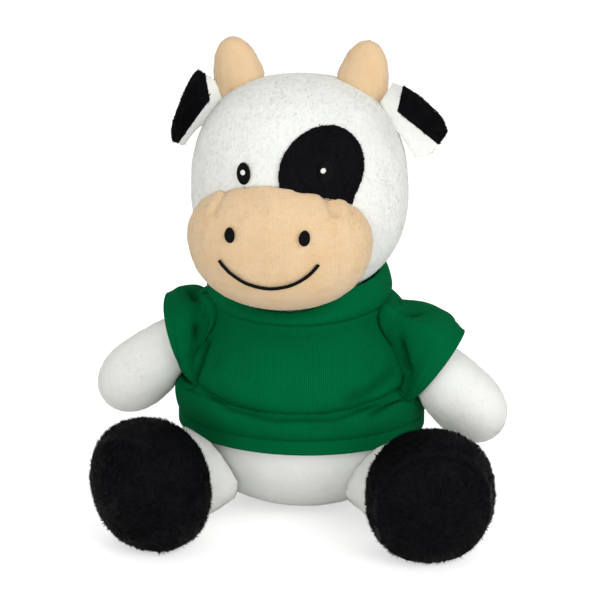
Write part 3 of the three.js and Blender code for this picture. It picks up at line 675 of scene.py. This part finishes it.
LINING_PILE = dict(length=1.3 * MM, width=0.45 * MM, per_mm2=2.4, lean=0.76, unruly=0.14)
EAR_PILE = dict(length=1.1 * MM, width=0.5 * MM, per_mm2=1.8, lean=0.92, unruly=0.05)
LINING_LIFT = 0.3 * MM
LINING_THICK = 0.8 * MM
LINING_FACES, LINING_TURNS_BACK = np.array([0.13, -0.94, 0.31]), -0.12
EAR_VOXEL, EAR_SWELL = 0.7 * MM, 0.4 * MM
EAR_ROUNDED = 50
EAR_OUT = np.array([1.10, 1.0, 1.06])
EAR_PLEAT = [([(42, -20, 177), (52, -18, 175), (62, -14, 174)], 1.6, 1.7)]
# Where the lining ends, in millimetres across and up: down beside the root to a corner, then out along the
# lower rim.
LINING_EDGE = {
    "right": [(-39.3, 184.9), (-36.8, 170.8), (-47.6, 155.7)],
    "left": [(42.9, 184), (39.6, 169.9), (58.8, 155.4)],
}
EAR_TALLER = {"right": 2.8 * MM, "left": 1.3 * MM}
EAR_WIDER = {"right": 4.2 * MM, "left": 2.0 * MM}
EAR_WIDEST, EAR_WIDE_REACH, EAR_INNER_SIDE, EAR_TALL_FROM, EAR_FORWARD = 0.34, 0.32, (0.1, 0.85), 0.45, 0.35


def ear_form(side, sign):
    """The stuffed head pushes an ear up, and its inner edge lies on the head."""
    low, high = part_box(f"ear_{side}")

    def form(places):
        share = (places[:, 2] - low.z) / (high.z - low.z)
        inner = (places[:, 0] - (low.x if sign > 0 else high.x)) / (high.x - low.x) * sign
        wide = EAR_WIDER[side] * np.exp(-(((share - EAR_WIDEST) / EAR_WIDE_REACH) ** 2))
        wide = wide * (1 - smoothstep(inner, *EAR_INNER_SIDE))
        up = EAR_TALLER[side] * smoothstep(share, EAR_TALL_FROM, 1)
        return places + np.stack([-sign * wide, -EAR_FORWARD * wide, up], 1)
    return form


for side, sign in (("right", -1), ("left", 1)):
    ear = stuffed_cover(f"ear_{side}", f"ear_{side}_cover", ["head"], EAR_VOXEL, EAR_SWELL)
    applied(ear, "SMOOTH", factor=0.5, iterations=EAR_ROUNDED)
    places = corners(ear.data)
    middle = places.mean(axis=0)
    places = middle + (places - middle) * EAR_OUT
    move(ear.data, ear_form(side, sign)(places))
    if side == "left":
        creased(ear, EAR_PLEAT)
    lining = added(f"ear_lining_{side}_cover", ear.data.copy())
    only(lining)
    bpy.ops.object.mode_set(mode="EDIT")
    for (start_x, start_z), (end_x, end_z) in zip(LINING_EDGE[side], LINING_EDGE[side][1:]):
        bpy.ops.mesh.select_all(action="SELECT")
        outside = Vector((start_z - end_z, 0, end_x - start_x)).normalized() * sign
        bpy.ops.mesh.bisect(plane_co=(start_x * MM, 0, start_z * MM), plane_no=outside, clear_inner=True)
    bpy.ops.mesh.select_all(action="DESELECT")
    bpy.ops.object.mode_set(mode="OBJECT")
    behind = corners(lining.data, "normal") @ LINING_FACES < LINING_TURNS_BACK
    lining.data.vertices.foreach_set("select", behind)
    bpy.ops.object.mode_set(mode="EDIT")
    bpy.ops.mesh.delete(type="VERT")
    bpy.ops.object.mode_set(mode="OBJECT")
    move(lining.data, corners(lining.data) + corners(lining.data, "normal") * LINING_LIFT)
    for cover, finish in ((ear, white_plush), (lining, black_plush)):
        cover.data.materials.append(finish)
        tips_on(cover)
    nap = away_from(pivot(f"ear_flop_{side}"))
    piles = [
        grow_pile(lining, f"ear_lining_{side}_pile", black_plush, nap, 16, under=["head"], **LINING_PILE),
        grow_pile(ear, f"ear_{side}_pile", white_plush, nap, 15, under=["head"], round=[lining], **EAR_PILE),
    ]
    applied(lining, "SOLIDIFY", thickness=LINING_THICK, offset=-1, use_rim=True)
    for piece, slot in zip([lining, ear] + piles, ["black_plush", "white_plush"] * 2):
        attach(piece, f"ear_{side}")
    for cover, node in ((lining, f"ear_lining_{side}"), (ear, f"ear_{side}")):
        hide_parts(node)


# Neck
# The seam roll between torso and head, where both covers are gathered and the head turns. Only a little of it
# shows, inside the neckband.
NECK_VOXEL, NECK_SWELL = 1.5 * MM, 0.4 * MM

neck_cover = stuffed_cover("neck", "neck_cover", ["head", "torso"], NECK_VOXEL, NECK_SWELL)
neck_cover.data.materials.append(white_plush)
tips_on(neck_cover)
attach(neck_cover, "neck")
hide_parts("neck")


# Torso
# A firmly stuffed pear of white plush that sits flat. Neck, arms, legs and tail are sewn into it, and the
# T-shirt covers it down to the belly.
shirt = ["shirt_front", "shirt_back", "sleeve_right", "sleeve_left"]
dressed(
    "torso", "torso", "white_plush", ["leg_right", "leg_left", "neck"], white_plush, downwards, 17, WHITE_PILE,
    under=shirt + ["leg_right", "leg_left"],
)


# Arms and legs
# Stuffed clubs and rolls of white plush, sewn into the torso at shoulders and hips, where they bend. An arm is
# gathered at its root inside the sleeve, and a leg is fullest at the hip.
LIMB_VOXEL = 2 * MM
LEG_LONG, LEG_THICKER, LEG_THICKER_TO = 50 * MM, 0.32, (0.1, 0.75)
LEG_FULLER_FROM = (6 * MM, 22 * MM)
LEG_BEND = (2 * MM, 30 * MM)
ARM_THINNER, ARM_GATHERED = 0.16, (4 * MM, 15 * MM)
SHOULDER_BEND = (49, 66)
SHOULDER_PLACE = (-8, 81)


def leg_form(hip, foot):
    """A leg's upper side is fuller towards the hip, where its cover is sewn into the torso's."""
    way = np.array(foot - hip) * [1, 1, 0]
    way /= np.linalg.norm(way)

    def form(places):
        along = (places - hip) @ way
        middle = np.array(hip) + along[:, None] * way
        fuller = LEG_THICKER * (1 - smoothstep(along / LEG_LONG, *LEG_THICKER_TO))
        upper = smoothstep(places[:, 2], *LEG_FULLER_FROM)
        return middle + (places - middle) * (1 + fuller * upper)[:, None]
    return form


def shoulder_bend(side):
    """Two points at shoulder height beyond the torso's side, given to an arm as its bend points."""
    sign = 1 if side == "left" else -1
    return [Vector((sign * across, *SHOULDER_PLACE)) * MM for across in SHOULDER_BEND]


def arm_form(shoulder, hand):
    """An arm is gathered to a narrow root, which the sleeve hides."""
    way = np.array(hand - shoulder) * [1, 0, 1]
    way /= np.linalg.norm(way)

    def form(places):
        along = (places - shoulder) @ way
        middle = np.array(shoulder) + along[:, None] * way
        thinner = ARM_THINNER * (1 - smoothstep(along, *ARM_GATHERED))
        return middle + (places - middle) * (1 - thinner)[:, None]
    return form


for side in ("right", "left"):
    shoulder = pivot(f"arm_swing_{side}")
    arm_low, arm_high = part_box(f"arm_{side}")
    hand = Vector((arm_low.x if side == "right" else arm_high.x, shoulder.y, arm_low.z))
    dressed(
        f"arm_{side}", f"arm_{side}", "white_plush", ["torso"], white_plush, away_from(shoulder), 18,
        WHITE_PILE, voxel=LIMB_VOXEL, shape=arm_form(shoulder, hand), under=shirt + ["torso"],
        bend=shoulder_bend(side),
    )
    hip = pivot(f"leg_spread_{side}")
    ankle = (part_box(f"foot_{side}")[0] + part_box(f"foot_{side}")[1]) / 2
    ahead = Vector((ankle.x - hip.x, ankle.y - hip.y, 0)).normalized()
    dressed(
        f"leg_{side}", f"leg_{side}", "white_plush", ["torso", f"foot_{side}"], white_plush, away_from(hip), 19,
        WHITE_PILE, voxel=LIMB_VOXEL, shape=leg_form(hip, ankle), bend=[hip + ahead * far for far in LEG_BEND],
        under=["torso", f"foot_{side}", "shirt_front"],
    )


# Feet
# Big stuffed ovals of longer black plush: an upper that is sewn on round the leg, and a sole let in at the
# front. The edges of both are turned in where they meet.
FOOT_PILE = dict(length=2.3 * MM, width=0.6 * MM, per_mm2=1.5, lean=0.76, unruly=0.16)
for side in ("right", "left"):
    low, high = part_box(f"sole_{side}")
    centre = (low + high) / 2
    for node, other, seed in [(f"foot_{side}", f"sole_{side}", 20), (f"sole_{side}", f"foot_{side}", 21)]:
        to_other = (sum(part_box(other), Vector()) - sum(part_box(node), Vector())).normalized()
        dressed(
            node, f"leg_{side}", "black_plush", [other, f"leg_{side}"], black_plush, away_from(centre), seed,
            FOOT_PILE, voxel=1.6 * MM, under=[other, f"leg_{side}"], shape=tucked(other, to_other),
        )


# Tail
# A thin white roll with a tuft of long black plush at its end, sewn into the back seam. The photograph hides
# it, but such a toy has one.
TUFT_PILE = dict(length=3.4 * MM, width=0.7 * MM, per_mm2=2.2, lean=0.84, unruly=0.12)

dressed(
    "tail", "tail", "white_plush", ["torso"], white_plush, downwards, 22, WHITE_PILE, voxel=0.9 * MM,
    swell=0.4 * MM, under=["torso", "tail_tuft", "shirt_back"],
)
dressed(
    "tail_tuft", "tail", "black_plush", ["tail"], black_plush, downwards, 23, TUFT_PILE, voxel=1 * MM,
    swell=0.4 * MM, under=["tail"],
)


# T-shirt
# Bottle green jersey: a front, a back and two raglan sleeves, sewn together and worn loose. It blouses into a
# roll above its hem band, turns a little on the toy, and puffs where the arms push the sleeves up.
GREEN = (0.0, 0.140, 0.044)
# Painted shade between the knit's columns; the random worn patches of the cloth also lean to this tone.
GREEN_GAP = (0.0, 0.062, 0.019)
# Painted shade deep in the T-shirt's folds.
GREEN_FOLD_SHADE = (0.0, 0.03, 0.009)
WALE = 0.85 * MM
COURSE = 0.75 * MM
WALE_DEPTH = 0.22 * MM
WORN_PATCH = 16 * MM
JERSEY = 1.2 * MM
CLOTH_CLEAR, CREASED_CLEAR = 0.3 * MM, 0.25 * MM
SHIRT_EASE = 1.4 * MM
HEM_RISE = 35 * MM
HEM_BAND = 6.3 * MM
ROLL_REACH = (10 * MM, 17 * MM)
ROLL_DEPTH, ROLL_POWER = (2.7 * MM, 1.6 * MM), 0.7
ROLL_CREASE, ROLL_CREASE_WIDE = 1.5 * MM, 1.9 * MM
BELLY_PUSH, BELLY_RISES, BELLY_ENDS = 0.9 * MM, 6 * MM, (26 * MM, 46 * MM)
HEM_SEAM, HEM_SEAM_WIDE, HEM_OFF = 0.5 * MM, 0.7 * MM, 0.35 * MM
TORSO_HALF = (48.5 * MM, 40 * MM)
TORSO_TALL, TORSO_WIDEST, SEAT_SINK = 87 * MM, 37.1 * MM, 0.5 * MM
TORSO_ROUND_BELOW, TORSO_ROUND_ABOVE = 2.3, 3.0
NECK_RADIUS, NECK_RISE, NECK_FORWARD = 34.8 * MM, 92 * MM, 5 * MM
NECK_TILT, NECK_LOWER = math.radians(3), 0.3 * MM
SHIRT_TWIST_LOW, SHIRT_TWIST_HIGH = math.radians(10), math.radians(3)
NECKLINE_SEAM, SEAM_DEPTH, SEAM_WIDE = 0.985, 0.55, 0.8
# Shares of the height from hem to neckline, and half of a panel's angle in degrees above the underarm.
UNDERARM, UNDERARM_CORNER, NARROWS_FROM = 0.31, 0.03, 0.55
OVER_ARM, OVER_ARM_MORE = 50, 22


def knit(name, **constants):
    """Jersey: columns of small Vs, with painted shade between the columns and in the folds."""
    finish = Finish(name, **constants)
    cloth = finish.node("ShaderNodeUVMap", {"uv_map": "knit"})
    across = finish.node("ShaderNodeSeparateXYZ", None, {0: cloth}, 0)
    along = finish.node("ShaderNodeSeparateXYZ", None, {0: cloth}, 1)
    column = finish.node("ShaderNodeMath", {"operation": "ABSOLUTE"}, {0: across.wave(2 * WALE)})
    course = (along + column * (COURSE * 0.5)).wave(COURSE)
    height = column * (course * 0.18 + 0.82)
    worn = finish.noise(finish.place(), WORN_PATCH, 2)
    # Painted shade between the columns, mixed with random worn patches.
    tone = finish.mix(height * 0.75 + worn * 0.35, GREEN_GAP, GREEN)
    # Painted shade in the folds, by how deep the cloth is pressed there.
    fold = finish.node("ShaderNodeAttribute", {"attribute_name": "fold"}, None, "Fac")
    finish.colour(finish.mix(fold * 0.8, tone, GREEN_FOLD_SHADE))
    finish.bump(height, WALE_DEPTH, 0.7)
    return finish.material


def hem_roll(angle, above):
    """How far the cloth stands off the torso at a height above the hem."""
    side = np.sin(angle) ** 2
    reach = ROLL_REACH[0] + (ROLL_REACH[1] - ROLL_REACH[0]) * side
    depth = ROLL_DEPTH[0] + (ROLL_DEPTH[1] - ROLL_DEPTH[0]) * side
    inside = np.clip((above - HEM_BAND) / reach, 0, 1)
    roll = depth * np.sin(np.pi * inside) ** ROLL_POWER
    crease = -ROLL_CREASE * np.exp(-(((above - HEM_BAND - reach) / ROLL_CREASE_WIDE) ** 2))
    belly = BELLY_PUSH * smoothstep(above - HEM_BAND - reach, 0, BELLY_RISES)
    belly = belly * (1 - smoothstep(above, *BELLY_ENDS))
    seam = -HEM_SEAM * np.exp(-(((above - HEM_BAND) / HEM_SEAM_WIDE) ** 2))
    return roll + crease + belly + seam + HEM_OFF


def worn_point(angle, share):
    """The middle of the cloth on the torso, from the hem at 0 up to the neckline at 1."""
    neck = NECK_RISE - NECK_LOWER - NECK_RADIUS * np.cos(angle) * math.sin(NECK_TILT)
    rise = HEM_RISE + (neck - HEM_RISE) * share
    off = SHIRT_EASE + JERSEY / 2
    below = rise < TORSO_WIDEST
    reach = np.where(below, TORSO_WIDEST + SEAT_SINK, TORSO_TALL - TORSO_WIDEST) + off
    power = np.where(below, TORSO_ROUND_BELOW, TORSO_ROUND_ABOVE)
    around = (1 - np.minimum(1, np.abs(rise - TORSO_WIDEST) / reach) ** power) ** (1 / power)
    roll = hem_roll(angle, rise - HEM_RISE)
    to_neck = smoothstep(share, NARROWS_FROM, 1)
    at_neck = NECK_RADIUS + JERSEY / 2
    half_width, half_depth = (
        ((half + off) * around + roll) * (1 - to_neck) + at_neck * to_neck for half in TORSO_HALF
    )
    forward = half_depth * np.cos(angle) + NECK_FORWARD * to_neck
    return np.stack([half_width * np.sin(angle), -forward, rise], -1)


def raglan_angle(share):
    """Half of a panel's angle: all of it below the arms, then in along the seam with the sleeve."""
    over_arm = OVER_ARM + OVER_ARM_MORE * share
    return np.radians(90 + (over_arm - 90) * smoothstep(share, UNDERARM, UNDERARM + UNDERARM_CORNER))


def twist(share):
    """The T-shirt is turned a little on the toy, more at the hem than at the neck."""
    return SHIRT_TWIST_LOW + (SHIRT_TWIST_HIGH - SHIRT_TWIST_LOW) * smoothstep(share, 0, UNDERARM)


def cloth_grid(name, points, middle, closed=False):
    """A sheet from rows of points. Its map is in metres of cloth, across from the middle column and up."""
    rows, columns = points.shape[:2]
    steps = np.linalg.norm(points[:, 1:] - points[:, :-1], axis=2)
    across = np.concatenate([np.zeros((rows, 1)), np.cumsum(steps, axis=1)], axis=1)
    across -= across[:, middle : middle + 1]
    rises = np.linalg.norm(points[1:] - points[:-1], axis=2)
    along = np.concatenate([np.zeros((1, columns)), np.cumsum(rises, axis=0)])
    index = np.arange(rows * columns).reshape(rows, columns)
    faces = np.stack([index[:-1, :-1], index[:-1, 1:], index[1:, 1:], index[1:, :-1]], -1).reshape(-1, 4)
    mesh = bpy.data.meshes.new(name)
    mesh.from_pydata(points.reshape(-1, 3).tolist(), [], faces.tolist())
    layer = mesh.uv_layers.new(name="knit")
    spots = np.stack([across, along], -1).reshape(-1, 2)[faces.ravel()]
    layer.data.foreach_set("uv", spots.astype(np.float32).ravel())
    piece = added(name, mesh)
    if closed:
        merged(piece)
    return piece


def pressed_out(piece, pieces, clear):
    """Moves the cloth off the pieces it lies on, to a clearance."""
    places = corners(piece.data)
    for over in map(tree, pieces):
        for i, place in enumerate(places):
            near, normal, _, _ = over.find_nearest(Vector(place))
            depth = (Vector(place) - near).dot(normal)
            if depth < clear:
                places[i] += np.array(normal * (clear - depth))
    move(piece.data, places)


def sewn(piece, node, folds):
    """Finishes a sheet of the T-shirt: its folds, its thickness and its finish; it hides its solid in the
    frame.
    """
    pressed_out(piece, inside, JERSEY / 2 + CLOTH_CLEAR)
    creased(piece, folds)
    pressed_out(piece, inside, JERSEY / 2 + CREASED_CLEAR)
    applied(piece, "SOLIDIFY", thickness=JERSEY, offset=0, use_rim=True)
    piece.data.materials.append(green_knit)
    bpy.ops.object.shade_smooth()
    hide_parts(node)


green_knit = knit("green_knit", Roughness=0.9, Specular_IOR_Level=0.02)
inside = [bpy.data.objects[f"{node}_cover"] for node in ("torso", "arm_right", "arm_left")]


def seam_lines(sign):
    """The seams round one sleeve, and the neckline, where cloth is pulled in along the stitches."""
    share = np.linspace(UNDERARM + UNDERARM_CORNER, 1, 16)
    front, back = raglan_angle(share), math.pi - raglan_angle(share)
    lines = [worn_point(sign * angle + twist(share), share) for angle in (front, back)]
    turn = sign * np.linspace(0, math.pi, 40)
    lines.append(worn_point(turn, np.full(40, NECKLINE_SEAM)))
    return [(line / MM, SEAM_DEPTH, SEAM_WIDE) for line in lines]


seams = seam_lines(1) + seam_lines(-1)
# The cloth is pulled up to the arms, and sags between them.
FRONT_FOLDS = [
    ([(-44, -20, 58), (-36.4, -28.6, 56.2), (-23.3, -38, 52.1), (-5, -43.2, 50.3), (19.3, -40.7, 50.7),
      (35.7, -29.5, 54.6), (46, -20, 58)], 1.0, 1.4),
    ([(50, -24, 58.5), (42, -26, 54), (32, -36, 51)], 1.8, 1.7),
    ([(49, -20, 75), (41, -24, 66), (32, -33, 60), (21, -40, 57)], 1.0, 3),
    ([(50, -20, 68), (43, -26, 60), (34, -34, 56)], -1.0, 2.6),
    ([(-35, -20, 76), (-38, -26, 66), (-41, -25, 56)], 1.8, 2.4),
    ([(-33, -25, 88), (-33, -29, 77), (-31, -34, 65)], 0.8, 3),
    ([(-30, -34, 63), (-18, -42, 58), (-4, -45, 56)], -0.8, 4),
    ([(34, -22, 88), (36, -27, 76), (33, -33, 66)], 0.9, 2.6),
    ([(-40, -24, 50), (-26, -37, 47), (-10, -42, 46)], -0.7, 2.4),
    ([(8, -44, 47), (24, -38, 47.5), (38, -30, 50)], 0.7, 1.6),
]
# Panels and sleeves stop a hair short of the seam between them, by these angles in radians.
PANEL_SHORT, SLEEVE_SHORT = 0.0037, 0.001
PANEL_DIP, PANEL_DIP_WIDE, PANEL_DIP_FROM = 0.45 * MM, 1.1 * MM, 0.3
rows, corner_rows = np.linspace(0, 1, 84), np.linspace(UNDERARM, UNDERARM + UNDERARM_CORNER, 13)
share = np.unique(np.concatenate([rows, corner_rows]))[:, None]
for name, turned in [("front", 0), ("back", math.pi)]:
    half = raglan_angle(share) - PANEL_SHORT
    angle = turned + np.linspace(-1, 1, 121)[None, :] * half
    points = worn_point(angle + twist(share), np.broadcast_to(share, angle.shape))
    edge = (half - np.abs(angle - turned)) * TORSO_HALF[0]
    dip = PANEL_DIP * np.exp(-((edge / PANEL_DIP_WIDE) ** 2)) * (share > PANEL_DIP_FROM)
    points -= dip[..., None] * points * [1, 1, 0] / np.linalg.norm(points * [1, 1, 0], axis=2, keepdims=True)
    panel = cloth_grid(f"shirt_{name}_cloth", points, 60)
    sewn(panel, f"shirt_{name}", seams + FRONT_FOLDS * (turned == 0))
    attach(panel, "torso")

# A deep valley runs down each sleeve's front to the underarm, with lesser ones beside it.
SLEEVE_FOLDS = {
    "right": [
        ([(-45, -2, 91), (-42, -15, 85), (-39.5, -21, 74), (-39, -25, 64)], 2.0, 2.0),
        ([(-38, -7, 93), (-37.5, -16.5, 82)], 1.2, 1.4),
        ([(-55, -2, 82), (-52, -14, 74), (-46, -21, 64)], 0.9, 2.2),
        ([(-50, -8, 85), (-47, -18, 76), (-43, -24, 66)], -1.0, 2.2),
    ],
    "left": [
        ([(51, -8, 88), (44.5, -13.5, 83.6), (44, -20, 73.8), (48, -22.5, 64)], 2.0, 2.0),
        ([(41, -1, 92), (40.8, -15.5, 80.6)], 1.3, 1.4),
        ([(58, -6, 85), (52, -17, 77), (50, -22, 68)], -1.2, 2.6),
        ([(63, -6, 79), (58, -15, 71), (52, -22, 62)], 0.9, 2.2),
    ],
}
# Each sleeve: its side and its sign, the degrees that it leans out from straight down, its length below the
# shoulder and how much lower it starts, the share of it where its valley lies, and its puff in millimetres.
SLEEVES = [("right", -1, 72, 15, 6, 0.42, 2.4), ("left", 1, 52, 26, 1, 0.34, 5)]
SLEEVE_ROOT, SLEEVE_HEART = (36, -8, 81), 18 * MM
SLEEVE_MOUTH, MOUTH_SLICE = 36 * MM, 2 * MM
SLEEVE_DIP, SLEEVE_DIP_WIDE = 0.4 * MM, 0.04
VALLEY_DEPTH, VALLEY_WIDE, VALLEY_LOWEST = 2.1 * MM, 0.08, 0.12
PUFF_RISES, PUFF_ENDS, PUFF_BELOW, PUFF_DRAWN_IN = 0.28, 0.7, 0.35, 0.75
SLEEVE_HEM, SLEEVE_HEM_WIDE, SLEEVE_HEM_AT = 0.4 * MM, 0.022, 0.84
ARMHOLE_CORNER, ARMHOLE_TOP, ARMHOLE_SIDE = 0.14, 0.8, 0.97


def armhole(turn, sign):
    """The raglan seam round one sleeve's root: from the underarm up the front, over the top and down behind."""
    up = 1 - np.abs(turn * 2 - 1)
    in_corner = np.clip(up / ARMHOLE_CORNER, 0, 1)
    in_side = np.clip((up - ARMHOLE_CORNER) / (ARMHOLE_TOP - ARMHOLE_CORNER), 0, 1)
    height = UNDERARM + UNDERARM_CORNER * in_corner + (ARMHOLE_SIDE - UNDERARM) * in_side
    edge = raglan_angle(height) + SLEEVE_SHORT
    from_front = edge + (np.pi / 2 - edge) * np.clip((up - ARMHOLE_TOP) / (1 - ARMHOLE_TOP), 0, 1)
    angle = np.where(turn < 0.5, from_front, np.pi - from_front)
    return worn_point(sign * angle + twist(height), height)


def sleeve_folds(turn, along, valley, puff):
    """How far a sleeve stands out: it puffs beyond a valley that runs from its top down into the underarm."""
    top = np.clip(1 - np.abs(turn * 2 - 1) * 1.15, 0, 1)
    middle = valley * (VALLEY_LOWEST + (1 - VALLEY_LOWEST) * top**1.3)
    outer = puff * MM * (PUFF_BELOW + (1 - PUFF_BELOW) * top) * smoothstep(along, middle, middle + PUFF_RISES)
    outer = outer * (1 - PUFF_DRAWN_IN * smoothstep(along, PUFF_ENDS, 1))
    valley_in = -VALLEY_DEPTH * np.exp(-(((along - middle) / VALLEY_WIDE) ** 2)) * smoothstep(along, 0, 0.05)
    hem = -SLEEVE_HEM * np.exp(-(((along - SLEEVE_HEM_AT) / SLEEVE_HEM_WIDE) ** 2))
    return outer + valley_in + hem


for side, sign, out, end, drop, valley, puff in SLEEVES:
    root = (np.array(SLEEVE_ROOT) * [sign, 1, 1] - [0, 0, drop]) * MM
    lean = math.radians(out) * sign
    axis_x = np.array([math.cos(lean), 0, math.sin(lean)])
    axis_z = np.array([-math.sin(lean), 0, math.cos(lean)])
    turn = np.linspace(0, 1, 145)
    seam = armhole(turn, sign)
    around = -sign * np.cos(turn * 2 * np.pi)[:, None] * axis_x - np.sin(turn * 2 * np.pi)[:, None] * [0, 1, 0]
    mouth = root - axis_z * end * MM
    arm = corners(bpy.data.objects[f"arm_{side}_cover"].data)
    arm = arm[np.abs((arm - mouth) @ axis_z) < MOUTH_SLICE]
    mouth[1] = (arm[:, 1].min() + arm[:, 1].max()) / 2
    rim = mouth + around * (SLEEVE_MOUTH / 2 - JERSEY / 2)
    heart = root + axis_z * SLEEVE_HEART
    outward = seam - heart
    outward /= np.linalg.norm(outward, axis=1, keepdims=True)
    along = np.linspace(0, 1, 42)[:, None, None]
    off = sleeve_folds(turn[None, :, None], along, valley, puff)
    off = off - SLEEVE_DIP * np.exp(-((along / SLEEVE_DIP_WIDE) ** 2))
    points = seam + (rim - seam) * along + (outward + (around - outward) * along) * off
    if sign < 0:
        points = points[:, ::-1]
    sleeve = cloth_grid(f"sleeve_{side}_cloth", points[:, ::-1], 72, closed=True)
    sewn(sleeve, f"sleeve_{side}", seams + SLEEVE_FOLDS[side])
    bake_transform(sleeve)


# Neckband
# A doubled band of the same jersey, sewn round the neckline. It stands up, leans on the back and the sides of
# the head, and is pressed low under the muzzle. It is wide enough for the head to nod in it.
BAND_HEIGHT = 15 * MM
BAND_THICK = 2.2 * MM
BAND_BULGE = 1.6 * MM
BAND_CLEAR = 1.6 * MM
BAND_LEAN = 1.9 * MM
BAND_LEAST = 3 * MM
BAND_FEELS, BAND_LOOKS_UP = (0, 1.2 * MM, -1.2 * MM), 40 * MM
BAND_SUNK = 0.6 * MM
BAND_RIPPLE, BAND_RIPPLES = 0.25 * MM, 17
BAND_COLUMNS, BAND_EASED = 180, 8
BAND_OFF_HEAD = 0.6 * MM
BAND_NODS = (0, math.radians(5), math.radians(-2.2))
# How high the band can stand in each column, under the head and the muzzle, eased round the neck.
over = [bpy.data.objects["head_cover"], bpy.data.objects["muzzle_cover"]]
above = tree(*over)
turn = np.linspace(-np.pi, np.pi, BAND_COLUMNS + 1)
foot = worn_point(turn, np.ones(len(turn)))
outwards = np.stack([np.sin(turn), -np.cos(turn), np.zeros(len(turn))], -1)
free = np.full(BAND_COLUMNS, BAND_HEIGHT)
for i, (place, out) in enumerate(zip(foot[:-1], outwards)):
    for reach in BAND_FEELS:
        hit = above.ray_cast(Vector(place + out * reach), Vector((0, 0, 1)), BAND_LOOKS_UP)
        if hit[0]:
            free[i] = min(free[i], max(BAND_LEAST, hit[3] - BAND_CLEAR))
for _ in range(BAND_EASED):
    free = np.minimum(free, (np.roll(free, 1) + np.roll(free, -1)) / 2)
free = np.append(free, free[0])

# Its section goes up the outer layer, over the fold and down the inner one.
loop = np.linspace(0, 1, 33)
rise = np.interp(loop, [0, 0.44, 0.5, 0.56, 1], [0, 1, 1.06, 1, 0])[:, None]
layer = np.interp(loop, [0, 0.04, 0.44, 0.5, 0.56, 0.96, 1], [0.6, 1, 1, 0, -1, -1, -0.6])[:, None]
up = np.clip(rise, 0, 1)
bulge = BAND_BULGE * np.sin(np.pi * up**0.8) + layer * BAND_THICK / 2
bulge = bulge - BAND_LEAN * up**2 * (free / BAND_HEIGHT) + BAND_RIPPLE * np.sin(turn * BAND_RIPPLES) * up
points = foot + outwards * bulge[..., None] + (rise * free - BAND_SUNK)[..., None] * [0, 0, 1]
band = cloth_grid("neckband_cloth", points, BAND_COLUMNS // 2, closed=True)
only(band)
bpy.ops.object.mode_set(mode="EDIT")
bpy.ops.mesh.select_all(action="DESELECT")
bpy.ops.mesh.select_mode(type="EDGE")
bpy.ops.mesh.select_non_manifold()
bpy.ops.mesh.bridge_edge_loops()
bpy.ops.mesh.select_all(action="SELECT")
bpy.ops.mesh.normals_make_consistent(inside=False)
bpy.ops.object.mode_set(mode="OBJECT")
neck_pivot = Matrix.Translation(pivot("head_nod"))
for nod in BAND_NODS:
    leaned = neck_pivot @ Matrix.Rotation(nod, 4, "X") @ neck_pivot.inverted()
    band.data.transform(leaned)
    pressed_out(band, over, BAND_OFF_HEAD)
    band.data.transform(leaned.inverted())
applied(band, "SMOOTH", factor=0.4, iterations=2)
band.data.materials.append(green_knit)
bpy.ops.object.shade_smooth()
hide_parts("neckband")
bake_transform(band)
